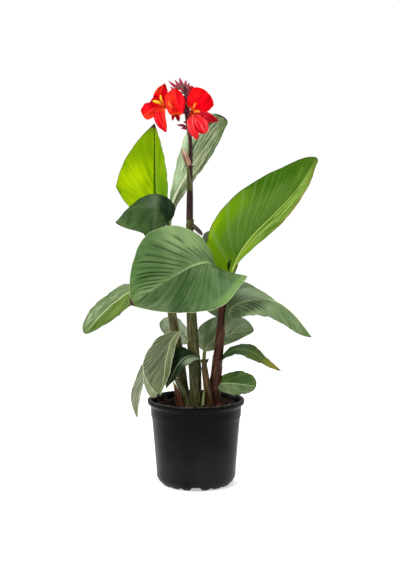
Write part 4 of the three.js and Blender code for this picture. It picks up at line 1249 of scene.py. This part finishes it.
def addStub():
    shape = Shape()
    addRod(shape, cutStalk["points"], cutStalk["radii"], cutStalk["sides"], cutStalk["step"], None, mark=9.0)
    shape.piece("cutStalk", stemSkin("cutStalkSkin", cutStalk["bark"]))


addStub()
print("stems raised")

# Bracts: small dry blades on the flowering stem.

bractBasics = {
    "stalk": 0.05, "stalkHalf": 3, "stalkDepth": 0.6, "basePower": 0.4, "tipPower": 0.9, "leftHalf": 9,
    "rightHalf": 9, "leftLift": [35, 30, 20], "rightLift": [35, 30, 20], "wave": 0, "thick": 0.5,
    "thin": 0.25, "veinStep": 2.4, "veinHeight": 0.15, "ruffle": 0.35, "columns": 9,
}
upperBract = {
    "rib": [[-12, -1, 706], [-20, -8, 730], [-30, -12, 757]], "across": [1, 0.35, 0], "leftHalf": 8.5,
    "rightHalf": 8.5, "tipPower": 0.45, "seed": 41,
    "look": {
        "top": {
            "dark": (120, 78, 62), "light": (200, 160, 130), "vein": (110, 70, 56), "rib": (210, 176, 146),
        },
        "under": {
            "dark": (126, 86, 70), "light": (214, 178, 150), "vein": (120, 80, 64), "rib": (220, 190, 160),
        },
        "margin": (52, 26, 24), "marginWidth": 1.3, "baseTint": (96, 62, 50), "stalkTone": (90, 60, 50),
        "tipTint": (244, 216, 184), "tipReach": 0.55, "brownFrom": 2.0, "roughness": 0.7, "gloss": 0.2,
    },
}
growLeaf("upperBract", "bract_upper", {**bractBasics, **upperBract})

lowerBract = {
    "rib": [[-14, -5, 592], [-4, -14, 582], [14, -20, 566]], "across": [0.5, -0.6, 0.6], "leftHalf": 7,
    "rightHalf": 7, "tipPower": 0.35, "seed": 43,
    "look": {
        "top": {"dark": (30, 27, 20), "light": (62, 54, 40), "vein": (50, 46, 32), "rib": (76, 68, 50)},
        "under": {"dark": (32, 28, 20), "light": (66, 58, 42), "vein": (54, 50, 36), "rib": (78, 70, 52)},
        "margin": (44, 38, 28), "marginWidth": 0.7, "stalkTone": (52, 46, 34), "brownFrom": 0.9,
    },
}
growLeaf("lowerBract", "bract_lower", {**bractBasics, **lowerBract})
print("bracts set")

# Raceme: its axis, buds and blooms. A bud's radius is its widest; a petal's colours are orange, dark and
# pink, where the orange is partly its own and partly painted light on the lit side, and the dark partly its
# own deeper red and partly painted shade.

raceme = {
    "points": [[-13.5, 0, 784], [-16, 0, 803], [-19, 1, 829], [-20, 2, 856], [-22, 3, 882], [-26, 3, 894]],
    "radii": [4.4, 5, 6.4, 6, 2.6],
    "podRadii": [2.2, 2.0, 2.3, 4.0, 4.9, 4.6, 3.6],
    "buds": [  # the line of each and its radius
        ([[-25, 3, 886], [-44, -2, 893], [-61, -6, 906]], 3.8),
        ([[-25, 3, 888], [-38, 4, 897], [-47, 4, 909]], 3.6),
        ([[-25, 3, 890], [-32, 4, 901], [-37, 4, 914]], 4),
        ([[-25, 3, 888], [-24, 6, 897], [-22, 7, 909]], 3.6),
        ([[-24, 3, 886], [-18, 5, 894], [-15, 5, 903]], 3.6),
        ([[-23, 2, 878], [-42, -6, 883], [-58, -11, 893]], 3.6),
        ([[-23, 2, 880], [-30, -8, 886], [-37, -14, 891]], 3.4),
        ([[-22, 2, 876], [-16, -8, 883], [-12, -12, 890]], 3.2),
        ([[-16, 0, 803], [-29, -8, 808], [-43, -12, 809]], 3.4),
        ([[-16, 0, 800], [-25, -12, 802], [-33, -17, 801]], 3.6),
        ([[-18, 0, 812], [-23, -7, 815], [-28, -10, 816]], 3),
    ],
    "sepals": [  # small dark leaves close against the axis, between the blooms
        ([[-20, 0, 848], [-25, -5, 860], [-27, -7, 875]], 3.2),
        ([[-20, 0, 856], [-15, -5, 866], [-13, -7, 879]], 3.0),
        ([[-19, 0, 836], [-24, -6, 845], [-27, -9, 857]], 3.0),
    ],
    "gloss": 0.2,
    "streaks": (2.5, 0.05),  # how close they stand: round the axis and along it
    "axisMesh": (24, 1.5),  # how many sides, and the step between rings
    "shootMesh": (14, 0.9),
    "podMesh": (18, 0.8),
    "axis": ((50, 24, 28), (112, 70, 66)),  # dark and light
    "sepal": ((46, 6, 22), (112, 26, 48)),
    "budFoot": ((70, 70, 56), (134, 124, 104)),
    "budPoint": ((88, 10, 36), (176, 52, 78)),
}
blooms = {
    "bloomLeft": {
        "solids": ["bloom_left", "stamens_left"], "node": [-19, 1, 834], "base": [-50, -8, 842],
        "throat": [-68, -15, 849],
        "petals": [
            {
                "rib": [[-66, -15, 848], [-76, -27, 862], [-74, -33, 880], [-68, -30, 898]],
                "across": [1, 0, 0], "half": 17, "basePower": 0.45, "tipPower": 0.8,
                "flush": (0.7, 0.4, 0.0),
            },
            {
                "rib": [[-66, -15, 848], [-89, -30, 846], [-104, -36, 838], [-117, -33, 830]],
                "across": [0.3, 0, 1], "half": 18, "tipPower": 0.3, "flush": (0.8, 0.0, 0.1),
            },
            {
                "rib": [[-66, -15, 848], [-80, -29, 857], [-94, -35, 867]], "across": [0.7, 0, 0.7],
                "half": 16, "tipPower": 0.25, "flush": (0.6, 0.1, 0.0),
            },
            {
                "rib": [[-66, -15, 848], [-79, -30, 832], [-76, -37, 814], [-65, -33, 792]],
                "across": [-1, 0, 0], "half": 13, "basePower": 0.6, "tipPower": 0.8,
                "flush": (0.7, 0.1, 0.2),
            },
            {
                "rib": [[-66, -15, 848], [-61, -16, 864], [-57, -15, 881]], "across": [1, 0, 0], "half": 9,
                "tipPower": 0.8, "flush": (0.0, 1.0, 0.0),
            },
        ],
        "stamens": [
            {"rib": [[-71, -27, 851], [-80, -43, 856], [-94, -50, 859]], "across": [0, 0, 1], "half": 3},
            {"rib": [[-71, -28, 856], [-76, -42, 863], [-77, -45, 872]], "across": [1, 0, 0], "half": 2.4},
        ],
    },
    "bloomCentre": {
        "solids": ["bloom_centre", "stamens_centre"], "node": [-20, 2, 842], "base": [-34, -18, 836],
        "throat": [-41, -33, 837],
        "petals": [
            {
                "rib": [[-42, -31, 826], [-43, -50, 838], [-45, -58, 862], [-46, -52, 885]],
                "across": [1, 0, 0], "half": 21, "basePower": 0.5, "tipPower": 0.45,
                "flush": (0.7, 0.0, 0.1),
            },
            {
                "rib": [[-41, -31, 835], [-51, -44, 846], [-57, -50, 860], [-58, -46, 876]],
                "across": [1, 0.4, 0], "half": 11, "tipPower": 0.6, "flush": (0.9, 0.0, 0.2),
            },
            {
                "rib": [[-41, -31, 835], [-40, -42, 827], [-37, -42, 815]], "across": [-1, 0, 0], "half": 5,
                "tipPower": 0.8, "flush": (0.0, 1.0, 0.0),
            },
            {
                "rib": [[-41, -31, 835], [-49, -40, 828], [-51, -41, 817]], "across": [-1, 0, 0], "half": 4,
                "tipPower": 0.8, "flush": (0.2, 0.8, 0.2),
            },
        ],
        "stamens": [
            {
                "rib": [[-50, -60, 844], [-57, -65, 850], [-60, -67, 858]], "across": [1, 0, 0],
                "half": 2.2, "flush": (1, 1, 0),
            },
        ],
    },
    "bloomRight": {
        "solids": ["bloom_right", "stamens_right"], "node": [-18, 1, 822], "base": [-12, -10, 834],
        "throat": [-8, -20, 840],
        "petals": [
            {
                "rib": [[-8, -18, 838], [-2, -38, 848], [11, -46, 862], [26, -40, 877]],
                "across": [0.8, 0, -0.6], "half": 30, "basePower": 0.7, "tipPower": 0.35,
                "flush": (0.1, 0.0, 0.0),
            },
            {
                "rib": [[-8, -18, 838], [10, -38, 829], [28, -46, 822], [49, -44, 817]],
                "across": [0, 0, -1], "half": 12, "basePower": 0.7, "tipPower": 0.8,
                "flush": (0.0, 0.8, 0.3),
            },
            {
                "rib": [[-8, -18, 838], [4, -40, 820], [13, -50, 805], [20, -48, 789]],
                "across": [-0.8, 0, -0.6], "half": 15, "flush": (0.1, 0.2, 0.7),
            },
            {
                "rib": [[-8, -18, 838], [-10, -38, 818], [-5, -46, 796], [3, -42, 776]],
                "across": [-1, 0, -0.2], "half": 11, "tipPower": 0.7, "flush": (0.0, 0.0, 1.0),
            },
        ],
        "stamens": [
            {
                "rib": [[-6, -34, 843], [-4, -46, 848], [0, -52, 855]], "across": [0.8, 0, -0.6],
                "half": 2.4, "flush": (1, 0.6, 0),
            },
            {
                "rib": [[-5, -35, 837], [3, -46, 837], [9, -52, 835]], "across": [0, 0, -1], "half": 2.4,
                "flush": (1, 0.6, 0),
            },
        ],
    },
    "bloomRear": {
        "solids": ["bloom_rear"], "node": [-21, 3, 862], "base": [-17, 10, 868], "throat": [-15, 14, 872],
        "petals": [
            {
                "rib": [[-16, 12, 868], [-21, 18, 883], [-24, 16, 895]], "across": [1, 0, 0], "half": 7,
                "flush": (0.4, 0.2, 0.6),
            },
            {
                "rib": [[-16, 12, 868], [-12, 20, 883], [-9, 18, 897]], "across": [1, 0, 0], "half": 7,
                "flush": (0.6, 0.0, 0.8),
            },
            {
                "rib": [[-16, 12, 868], [-4, 18, 879], [2, 16, 890]], "across": [1, 0, -0.5], "half": 7,
                "flush": (0.6, 0.0, 0.9),
            },
        ],
        "stamens": [],
    },
}
petalBasics = {
    "stalk": 0.1, "stalkHalf": 2.2, "stalkDepth": 0.8, "basePower": 0.9, "tipPower": 0.45,
    "leftLift": [20, 0, -10], "rightLift": [20, 0, -10], "wave": 2.4, "waves": 1.7, "fold": 1.5,
    "thick": 0.6, "thin": 0.2, "sweep": 1.6, "veinStep": 3.0, "veinHeight": 0.1, "ruffle": 0.5,
    "ruffles": (3, 5, 8), "ragged": 0.035, "uneven": [(1.5, 0.7), (3, 0.5), (5, 0.25)],
    "pleats": (1.6, 1.2), "columns": 16,
}
stamenBasics = {
    **petalBasics, "basePower": 0.4, "tipPower": 0.4, "wave": 0.5, "ruffle": 0.3, "pleats": (0.8, 0.3),
    "columns": 7,
}
tubeMesh = {"radii": [3, 3.4, 4.4], "sides": 16, "step": 2.0}
petalTones = {
    "gloss": 0.02,
    "deep": (186, 0, 14), "bright": (232, 2, 22),
    # The orange is partly the bloom's own and partly painted light; the dark is partly its own deeper red and
    # partly painted shade.
    "orange": (236, 76, 30), "throat": (240, 96, 26), "pink": (248, 104, 108),
    "dark": (104, 0, 20), "under": (214, 40, 44), "edge": (168, 6, 24),
    "streaks": (5.5, 1.5),  # how close they stand: across the petal and along it
    "cloud": 45.0,
}
stamenTones = {
    "gloss": 0.3,
    "foot": (246, 120, 24), "head": (252, 204, 36),
    "orange": (240, 110, 22), "dark": (236, 50, 16), "freckles": (232, 70, 20),
    "grain": 160.0,
}


def petalSkin():
    skin, tree, shader, place = newSkin("petalSkin", petalTones["gloss"], 0.5)
    reach, share, edge = parts(tree, "blade")
    under = parts(tree, "veins")[2]
    orange, dark, pink = parts(tree, "flush")
    across, along = petalTones["streaks"]
    lines = joined(tree, times(tree, share, across), times(tree, reach, along), times(tree, orange, 7.0))
    streak = noise(tree, lines, 1.0, 3.0)
    cloud = noise(tree, place, petalTones["cloud"], 3.0)
    # Orange towards one side of each petal, in clouds: partly the bloom's own, partly painted light on its
    # lit side.
    glow = times(tree, orange, ease(tree, share, 0.35, -0.6))
    glow = times(tree, glow, ease(tree, cloud, 0.25, 0.6))
    throat = ease(tree, plus(tree, reach, times(tree, streak, 0.12)), 0.3, 0.06)
    pinkLines = times(tree, pink, ease(tree, streak, 0.45, 0.62))
    colour = blend(tree, ease(tree, streak, 0.35, 0.65), tone(petalTones["deep"]), tone(petalTones["bright"]))
    for strength, name in (
        (times(tree, glow, 0.6), "orange"),
        (throat, "throat"),
        (times(tree, pinkLines, 0.7), "pink"),
        # Dark crimson in the streaks: partly the petal's own deeper red, partly painted shade.
        (times(tree, dark, ease(tree, streak, 0.75, 0.4)), "dark"),
        (times(tree, under, 0.25), "under"),
        (times(tree, ease(tree, edge, 1.0, 0.1), 0.5), "edge"),
    ):
        colour = blend(tree, strength, colour, tone(petalTones[name]))
    finishSkin(tree, shader, colour, ease(tree, cloud, 0.3, 0.7, 0.42, 0.58), streak, 0.0006, 0.5)
    return skin


def stamenSkin():
    skin, tree, shader, place = newSkin("stamenSkin", stamenTones["gloss"], 0.5)
    reach = parts(tree, "blade")[0]
    orange, dark = parts(tree, "flush")[:2]
    grain = noise(tree, place, stamenTones["grain"])
    colour = blend(tree, ease(tree, reach, 0.0, 0.5), tone(stamenTones["foot"]), tone(stamenTones["head"]))
    colour = blend(tree, times(tree, orange, 0.75), colour, tone(stamenTones["orange"]))
    colour = blend(tree, times(tree, dark, 0.6), colour, tone(stamenTones["dark"]))
    colour = blend(tree, ease(tree, grain, 0.62, 0.68), colour, tone(stamenTones["freckles"]))
    finishSkin(tree, shader, colour, ease(tree, grain, 0.3, 0.7, 0.42, 0.6), grain, 0.0004, 0.5)
    return skin


def addPetal(shape, petal, basics, seed):
    plain = {key: value for key, value in petal.items() if key not in ("half", "flush")}
    sized = {**basics, "leftHalf": petal["half"], "rightHalf": petal["half"], **plain, "seed": seed}
    addBlade(shape, sized, petal.get("flush", (0, 0, 0)))


def addTube(shape, bloom):
    # The bloom's tube, painted as the throat of its petals is.
    line, sides = [bloom["base"], bloom["throat"]], tubeMesh["sides"]
    places, u = rodRings(line, tubeMesh["radii"], sides, tubeMesh["step"])[:2]
    faces = tubeFaces(len(u), sides)
    shape.add(places, faces, blade=(0.15, 0, 6), veins=(2, 6, 0), relief=0, flush=(0.4, 0.3, 0))


def openBlooms():
    petalPaint, stamenPaint = petalSkin(), stamenSkin()
    for order, (name, bloom) in enumerate(blooms.items()):
        petals = Shape()
        addTube(petals, bloom)
        for k, petal in enumerate(bloom["petals"]):
            addPetal(petals, petal, petalBasics, 60 + 10 * order + k)
        petals.piece(name, petalPaint, bloom["solids"][:1])
        if bloom["stamens"]:
            stamens = Shape()
            for k, stamen in enumerate(bloom["stamens"]):
                addPetal(stamens, stamen, stamenBasics, 110 + 10 * order + k)
            stamens.piece(name + "Stamens", stamenPaint, bloom["solids"][1:])


def racemeSkin():
    # Wine-brown axis; buds go from grey-green at the foot to plum at the point.
    skin, tree, shader = newSkin("racemeSkin", raceme["gloss"], 0.45)[:3]
    x, y, along = parts(tree, "wrap")
    reach, layer = parts(tree, "bark")[:2]
    close, upwards = raceme["streaks"]
    turned = [times(tree, value, close) for value in (x, y)]
    streak = noise(tree, joined(tree, *turned, times(tree, along, upwards)), 1.0, 3.0)
    patch = ease(tree, streak, 0.38, 0.62)

    def shade(name):
        dark, light = raceme[name]
        return blend(tree, patch, tone(dark), tone(light))

    axis = blend(tree, ease(tree, reach, 0.32, 0.55), shade("axis"), shade("sepal"))
    bud = blend(tree, ease(tree, reach, 0.2, 0.6), shade("budFoot"), shade("budPoint"))
    colour = blend(tree, layer, axis, bud)
    finishSkin(tree, shader, colour, ease(tree, streak, 0.3, 0.7, 0.38, 0.55), streak, 0.0008, 0.6)
    return skin


def growRaceme():
    shape = Shape()

    def warts(centre, along, turn):
        return 0.28 * np.sin(7 * turn) * np.sin(along * 1.9)

    def fibres(centre, along, turn):
        return 0.15 * np.sin(6 * turn + 0.05 * along)

    addRod(shape, raceme["points"], raceme["radii"], *raceme["axisMesh"], fibres)
    shoots = [(*bud, 1.0) for bud in raceme["buds"]] + [(*sepal, 0.0) for sepal in raceme["sepals"]]
    for rib, radius, layer in shoots:
        radii = [1.5, 1.6, 0.75 * radius, radius, 0.97 * radius, 0.8 * radius, 0.5 * radius, 0.4]
        addRod(shape, rib, radii, *raceme["shootMesh"], fibres, layer)
    for bloom in blooms.values():  # each bloom hangs on its warted seed pod
        addRod(shape, [bloom["node"], bloom["base"]], raceme["podRadii"], *raceme["podMesh"], warts, 0.35)
    shape.piece("racemeAxis", racemeSkin(), ["raceme"])


growRaceme()
openBlooms()
print("raceme opened")

# Pot.

pot = {
    "height": 194,
    "rimRadius": 110,
    "wallTopRadius": 103.2,
    "wallFootRadius": 89.6,
    "stepHeight": 158,  # stacking step, below the collar
    "stepDepth": 1.6,
    "collarTop": 177,
    "skirtHeight": 17,
    "footRadius": 75,
    "wall": 2.2,
    "floorHeight": 8,
    "bossRadius": 14,
    "drains": {"count": 5, "width": 30, "height": 9},
    "scallops": {"perDrain": 2, "width": 17, "height": 5, "spread": 21.6},
    "archRadius": 80,  # where the arches are as wide as given
    "columns": 432,
    "gloss": 0.07,
    "roughness": (0.27, 0.42),
    "tint": (2, 2, 3),
    # Painted sheen: the lighter, greener tint the wall goes to towards the bottom.
    "sheenTint": (26, 28, 27),
    "dust": (46, 43, 40),
    # The top of the lip: rubbed wear with a painted highlight along it.
    "lipWearAndHighlight": (84, 83, 82),
    "dimple": (2, 2, 3),
    "dimpleScale": 62.0,
    "grainScale": 700.0,
    "cloudScale": 14.0,
    "scuffs": (40.0, 5.0),  # how close they stand: across and upwards
    "bumpDepth": 0.0003,
}


def archEdge(turn, middle, width, height):
    # The arch's height where it crosses the skirt: flat on top and curving down to nothing at its sides.
    # Across is counted in widths, and side goes from 0 at the end of the flat to 1 at the arch's foot.
    flatHalf, half, lean, bend, farAway = 0.15, 0.5, 0.42, 0.07, 9
    across = np.abs(pot["archRadius"] * np.sin(turn - middle)) / width
    across = np.where(np.cos(turn - middle) > 0, across, farAway)
    root = np.sqrt(np.clip(lean**2 - 4 * bend * (across - flatHalf), 0, 1))
    side = np.clip((lean - root) / (2 * bend), 0, None)
    rise = np.clip(height - (height + 1) * side**2, 0, height)
    return np.where(across < flatHalf, height, np.where(across < half, rise, 0))


def footEdge(turn):
    drains, scallops = pot["drains"], pot["scallops"]
    step = 2 * np.pi / drains["count"]
    edge = np.zeros_like(turn)
    for i in range(drains["count"]):
        edge = np.maximum(edge, archEdge(turn, i * step, drains["width"], drains["height"]))
        for j in range(scallops["perDrain"]):
            aside = math.radians((j - (scallops["perDrain"] - 1) / 2) * scallops["spread"])
            middle = (i + 0.5) * step + aside
            edge = np.maximum(edge, archEdge(turn, middle, scallops["width"], scallops["height"]))
    return edge


def potProfile(turn):
    # Radius and height of each row at each angle, from the middle of the underside.
    # The rows run out to the foot, up the wall, over the lip and down inside.
    edge = footEdge(turn)
    low, high = pot["skirtHeight"], pot["collarTop"]
    foot, top = pot["wallFootRadius"], pot["wallTopRadius"]

    def wallAt(z):
        return foot + (top - foot) * (z - low) / (high - low)

    skirtHeights = [0, 1.2, 3, 7.1, 11.5, low]
    skirtRadii = [pot["footRadius"], 78.2, 80.8, 84.4, 86.9, foot]
    boss, floor = pot["bossRadius"], pot["floorHeight"]
    inner = pot["footRadius"] - pot["wall"]
    rows = [(1, 0), (boss, 0), (boss + 0.6, 0.4), (boss + 2.6, floor - 0.6), (boss + 4, floor)]
    rows += [(inner - 3.3, floor), (inner - 2.6, np.maximum(floor - 0.8, edge))]
    rows += [(inner, edge + 0.3), (inner + 0.4, edge)]
    outerFoot = np.interp(edge, skirtHeights, skirtRadii)
    rows += [(outerFoot - 0.5, edge), (outerFoot, edge + 0.4)]
    for t in (0.12, 0.28, 0.46, 0.64, 0.82, 1):
        z = edge + (low - edge) * t
        rows.append((np.interp(z, skirtHeights, skirtRadii), z))
    step, depth = pot["stepHeight"], pot["stepDepth"]
    rows += [(wallAt(z) - depth / 2 * soft(z, low, low + 30), z) for z in np.linspace(low + 3, step - 11, 22)]
    below = ((step - 9, -1), (step - 6.5, -0.7), (step - 2.5, 0.7), (step, 1))
    rows += [(wallAt(z) + side * depth / 2, z) for z, side in below]
    collar = np.linspace(step + 4, high - 1.5, 5)
    rows += [(wallAt(z) + depth / 2 * (high - z) / (high - step), z) for z in collar]
    rim, full = pot["rimRadius"], pot["height"]
    rows += [(top, high), (top + 0.4, high + 1.6), (top + 1.6, high + 3.2), (top + 3.6, high + 4.8)]
    rows += [(rim - 2.2, full - 11), (rim - 0.9, full - 10.2), (rim - 0.15, full - 8.8), (rim, full - 7)]
    rows += [(rim, full - 3), (rim - 0.5, full - 1.2), (rim - 1.5, full - 0.3), (rim - 2.8, full)]
    rows += [(rim - 5.4, full), (rim - 6.8, full - 0.3), (rim - 7.8, full - 1.4), (rim - 8.6, full - 4)]
    rows += [(rim - 10, full - 9), (top - pot["wall"], high)]
    rows += [(wallAt(step - 4) - pot["wall"] - depth, step - 4), (foot - pot["wall"], low)]
    rows += [(80, floor + 3.2), (1, floor + 3.2)]
    flat = np.ones_like(turn)
    return np.array([r * flat for r, z in rows]), np.array([z * flat for r, z in rows])


def potSkin():
    # Satin black plastic: fine moulding grain, faint vertical scuffs, dust at the foot, a painted sheen that
    # makes the wall lighter and greener towards the bottom, and a rubbed lip with a painted highlight along
    # its top.
    skin, tree, shader, place = newSkin("potSkin", pot["gloss"], 0.34)
    x, y, z = addNode(tree, "SeparateXYZ", {0: place}).outputs
    grain = noise(tree, place, pot["grainScale"], 2.0)
    cloud = noise(tree, place, pot["cloudScale"], 5.0)
    across, up = pot["scuffs"]
    upright = joined(tree, times(tree, x, across), times(tree, y, across), times(tree, z, up))
    scuff = noise(tree, upright, 1.0, 5.0, 0.7)
    # Painted sheen: lighter towards the bottom of the wall, in soft clouds.
    lowSheen = times(tree, times(tree, ease(tree, z, 0.15, 0.02), 0.9), ease(tree, cloud, 0.25, 0.6))
    colour = blend(tree, lowSheen, tone(pot["tint"]), tone(pot["sheenTint"]))
    dusty = times(tree, ease(tree, z, 0.05, 0.0), ease(tree, scuff, 0.5, 0.75))
    colour = blend(tree, times(tree, dusty, 0.5), colour, tone(pot["dust"]))
    # Rubbed wear and a painted highlight along the top of the lip.
    lip = times(tree, ease(tree, z, 0.1925, 0.194), ease(tree, scuff, 0.35, 0.6))
    colour = blend(tree, times(tree, lip, 0.6), colour, tone(pot["lipWearAndHighlight"]))
    cells = addNode(tree, "TexVoronoi", {"Vector": place, "Scale": pot["dimpleScale"]}).outputs["Distance"]
    dimple = times(tree, ease(tree, cells, 0.14, 0.05), ease(tree, cloud, 0.5, 0.56))
    colour = blend(tree, dimple, colour, tone(pot["dimple"]))
    rough = plus(tree, ease(tree, scuff, 0.35, 0.7, *pot["roughness"]), times(tree, grain, 0.06))
    height = plus(tree, grain, times(tree, scuff, 0.6))
    height = calc(tree, "SUBTRACT", height, times(tree, dimple, 3.0))
    finishSkin(tree, shader, colour, rough, height, pot["bumpDepth"], 0.5)
    return skin


def throwPot():
    turn = 2 * np.pi * np.arange(pot["columns"]) / pot["columns"]
    radius, height = potProfile(turn)
    points = np.stack([radius * np.sin(turn), -radius * np.cos(turn), height], -1)
    poles = [[0, 0, height[0, 0]], [0, 0, height[-1, 0]]]
    shape = Shape()
    shape.add(np.vstack([points.reshape(-1, 3), poles]), tubeFaces(*radius.shape))
    shape.piece("nurseryPot", potSkin(), ["pot"], sharp=35)


throwPot()
print("pot made")

# Potting mix, with bark chips and perlite lying on it.

mix = {
    "level": 178,
    "radius": 99.2,
    "bottom": 20,
    "footRadius": 84,
    "lumpLimit": 3,
    "rings": 40,
    "columns": 150,
    "seed": 12,
    "gloss": 0.2,
    "bumpDepth": 0.0015,
    "bed": {"shades": ((14, 9, 8), (38, 25, 20), (62, 44, 33)), "roughness": 0.9, "grainScale": 120.0},
    "chips": {
        "count": 760, "size": (2.2, 6.5), "clear": 2.5, "stretch": 2.2,
        "shades": ((16, 8, 7), (50, 27, 20), (92, 58, 42)), "roughness": 0.85, "grainScale": 220.0,
    },
    "perlite": {
        "count": 46, "size": (1.0, 2.2), "clear": 1.5, "stretch": 1.3,
        "shades": ((150, 146, 138), (206, 204, 198), (232, 230, 226)), "roughness": 0.9, "grainScale": 400.0,
    },
}


def lumps(x, y):
    height = (
        1.3 * np.sin(x / 9 + 1) * np.cos(y / 11)
        + 0.9 * np.sin(x / 4.3 + y / 5.1)
        + 0.6 * np.cos(x / 2.3 - y / 2.9 + 2)
        + 0.35 * np.sin(x / 1.3) * np.sin(y / 1.5)
    )
    return np.clip(height, -mix["lumpLimit"], mix["lumpLimit"])


def crumbSkin(name, kind):
    # Three shades from dark to light; each crumb also has a shade of its own.
    roughness = kind["roughness"]
    skin, tree, shader, place = newSkin(name, mix["gloss"], roughness)
    grain = noise(tree, place, kind["grainScale"], 5.0, 0.7)
    mixed = plus(tree, times(tree, grain, 0.5), times(tree, parts(tree, "shade")[0], 0.5))
    dark, middle, light = [tone(shade) for shade in kind["shades"]]
    colour = blend(tree, ease(tree, mixed, 0.25, 0.6), dark, middle)
    colour = blend(tree, ease(tree, mixed, 0.62, 0.8), colour, light)
    rough = ease(tree, grain, 0.3, 0.7, roughness - 0.1, roughness + 0.08)
    finishSkin(tree, shader, colour, rough, grain, mix["bumpDepth"], 0.9)
    return skin


def roundStone():
    ball = bmesh.new()
    bmesh.ops.create_icosphere(ball, subdivisions=2, radius=1)
    points = np.array([v.co[:] for v in ball.verts])
    faces = [[v.index for v in f.verts] for f in ball.faces]
    ball.free()
    return points, faces


def addStones(shape, places, sizes, stretch, draw):
    ball, faces = roundStone()
    for centre, size in zip(places, sizes):
        knobs = 1 + 0.22 * np.sin(ball @ draw.normal(0, 2.2, 3) + draw.random() * 6)[:, None]
        knobs = knobs + 0.12 * np.sin(ball @ draw.normal(0, 5, 3) + draw.random() * 6)[:, None]
        lengths = size * np.array([draw.uniform(1, stretch), draw.uniform(0.6, 1), draw.uniform(0.35, 0.7)])
        turn = np.linalg.qr(draw.normal(0, 1, (3, 3)) * [1, 1, 0.25] + np.diag([0, 0, 1.5]))[0]
        shape.add(ball * knobs * lengths @ turn.T + centre, faces, shade=(draw.random(), 0, 0))


def clearOfShoots(x, y, margin):
    clear = np.ones_like(x, bool)
    for shoot in (floweringStem, leftStem, rightStem, sideStem, youngShoot, slantingShoot, spearShoot):
        curve = Curve(shoot["points"])
        u = np.linspace(0, 1, 200)
        line = curve.at(u)
        k = np.argmin(np.abs(line[:, 2] - mix["level"]))  # where the shoot comes out of the mix
        radius = np.interp(u[k], np.linspace(0, 1, len(shoot["radii"])), shoot["radii"])
        clear &= np.hypot(x - line[k, 0], y - line[k, 1]) > radius + margin
    return clear


def layBed():
    columns = mix["columns"]
    turn = 2 * np.pi * np.arange(columns) / columns
    ring = np.linspace(0.012, 1, mix["rings"])[:, None] * mix["radius"]
    x, y = ring * np.cos(turn), ring * np.sin(turn)
    calm = 1 - soft(ring, mix["radius"] - 8, mix["radius"]) * 0.7
    z = mix["level"] - 1 + lumps(x, y) * calm
    top = np.stack([x, y, z], -1)[::-1]
    wallRings = [(mix["footRadius"], mix["bottom"]), (mix["footRadius"] + 6, 80), (mix["radius"] - 2, 164)]
    wall = [np.stack([r * np.cos(turn), r * np.sin(turn), 0 * turn + h], -1) for r, h in wallRings]
    rings = np.vstack([np.array(wall), top])
    poles = [[0, 0, mix["bottom"]], [0, 0, float(z[0].mean())]]
    bed = Shape()
    bed.add(np.vstack([rings.reshape(-1, 3), poles]), tubeFaces(len(rings), columns), shade=(0.4, 0, 0))
    bed.piece("pottingMix", crumbSkin("mixSkin", mix["bed"]), ["potting_mix"])


def scatter(name, skinName, kind, draw):
    # Crumbs lie on the bed and keep clear of the shoots.
    count = kind["count"]
    angle, reach = draw.uniform(0, 2 * np.pi, count), np.sqrt(draw.random(count)) * (mix["radius"] - 5)
    x, y = reach * np.cos(angle), reach * np.sin(angle)
    size = draw.uniform(*kind["size"], count)
    kept = clearOfShoots(x, y, kind["clear"])
    height = mix["level"] - 0.8 + lumps(x, y) + draw.uniform(-0.6, 1.2, count)
    stones = Shape()
    addStones(stones, np.stack([x, y, height], -1)[kept], size[kept], kind["stretch"], draw)
    stones.piece(name, crumbSkin(skinName, kind))


def fillPot():
    draw = np.random.default_rng(mix["seed"])
    layBed()
    scatter("barkChips", "barkChipSkin", mix["chips"], draw)
    scatter("perlite", "perliteSkin", mix["perlite"], draw)


fillPot()
print("pot filled")

# Floor: a plain pale sheet of paper, in metres.

paper = {
    "radius": 1.7,
    "sides": 96,
    "below": 0.0005,  # how far it lies under the pot
    "tone": (0.80, 0.80, 0.79),
    "paler": 1.03,  # how much brighter its grain is in places
    "glow": 0.45,
}


def layFloor():
    shape = bmesh.new()
    bmesh.ops.create_circle(shape, cap_ends=True, segments=paper["sides"], radius=paper["radius"])
    mesh = bpy.data.meshes.new("floor")
    shape.to_mesh(mesh)
    shape.free()
    skin, tree, shader, place = newSkin("floorPaper", 0.1, 0.9)
    pale = tuple(c * paper["paler"] for c in paper["tone"])
    colour = blend(tree, noise(tree, place, 3.0), (*paper["tone"], 1), (*pale, 1))
    tree.links.new(colour, shader.inputs["Base Color"])
    shader.inputs["Emission Color"].default_value = (1, 1, 1, 1)
    shader.inputs["Emission Strength"].default_value = paper["glow"]
    mesh.materials.append(skin)
    floor = bpy.data.objects.new("floor", mesh)
    floor.location.z = -paper["below"]
    bpy.context.scene.collection.objects.link(floor)


layFloor()
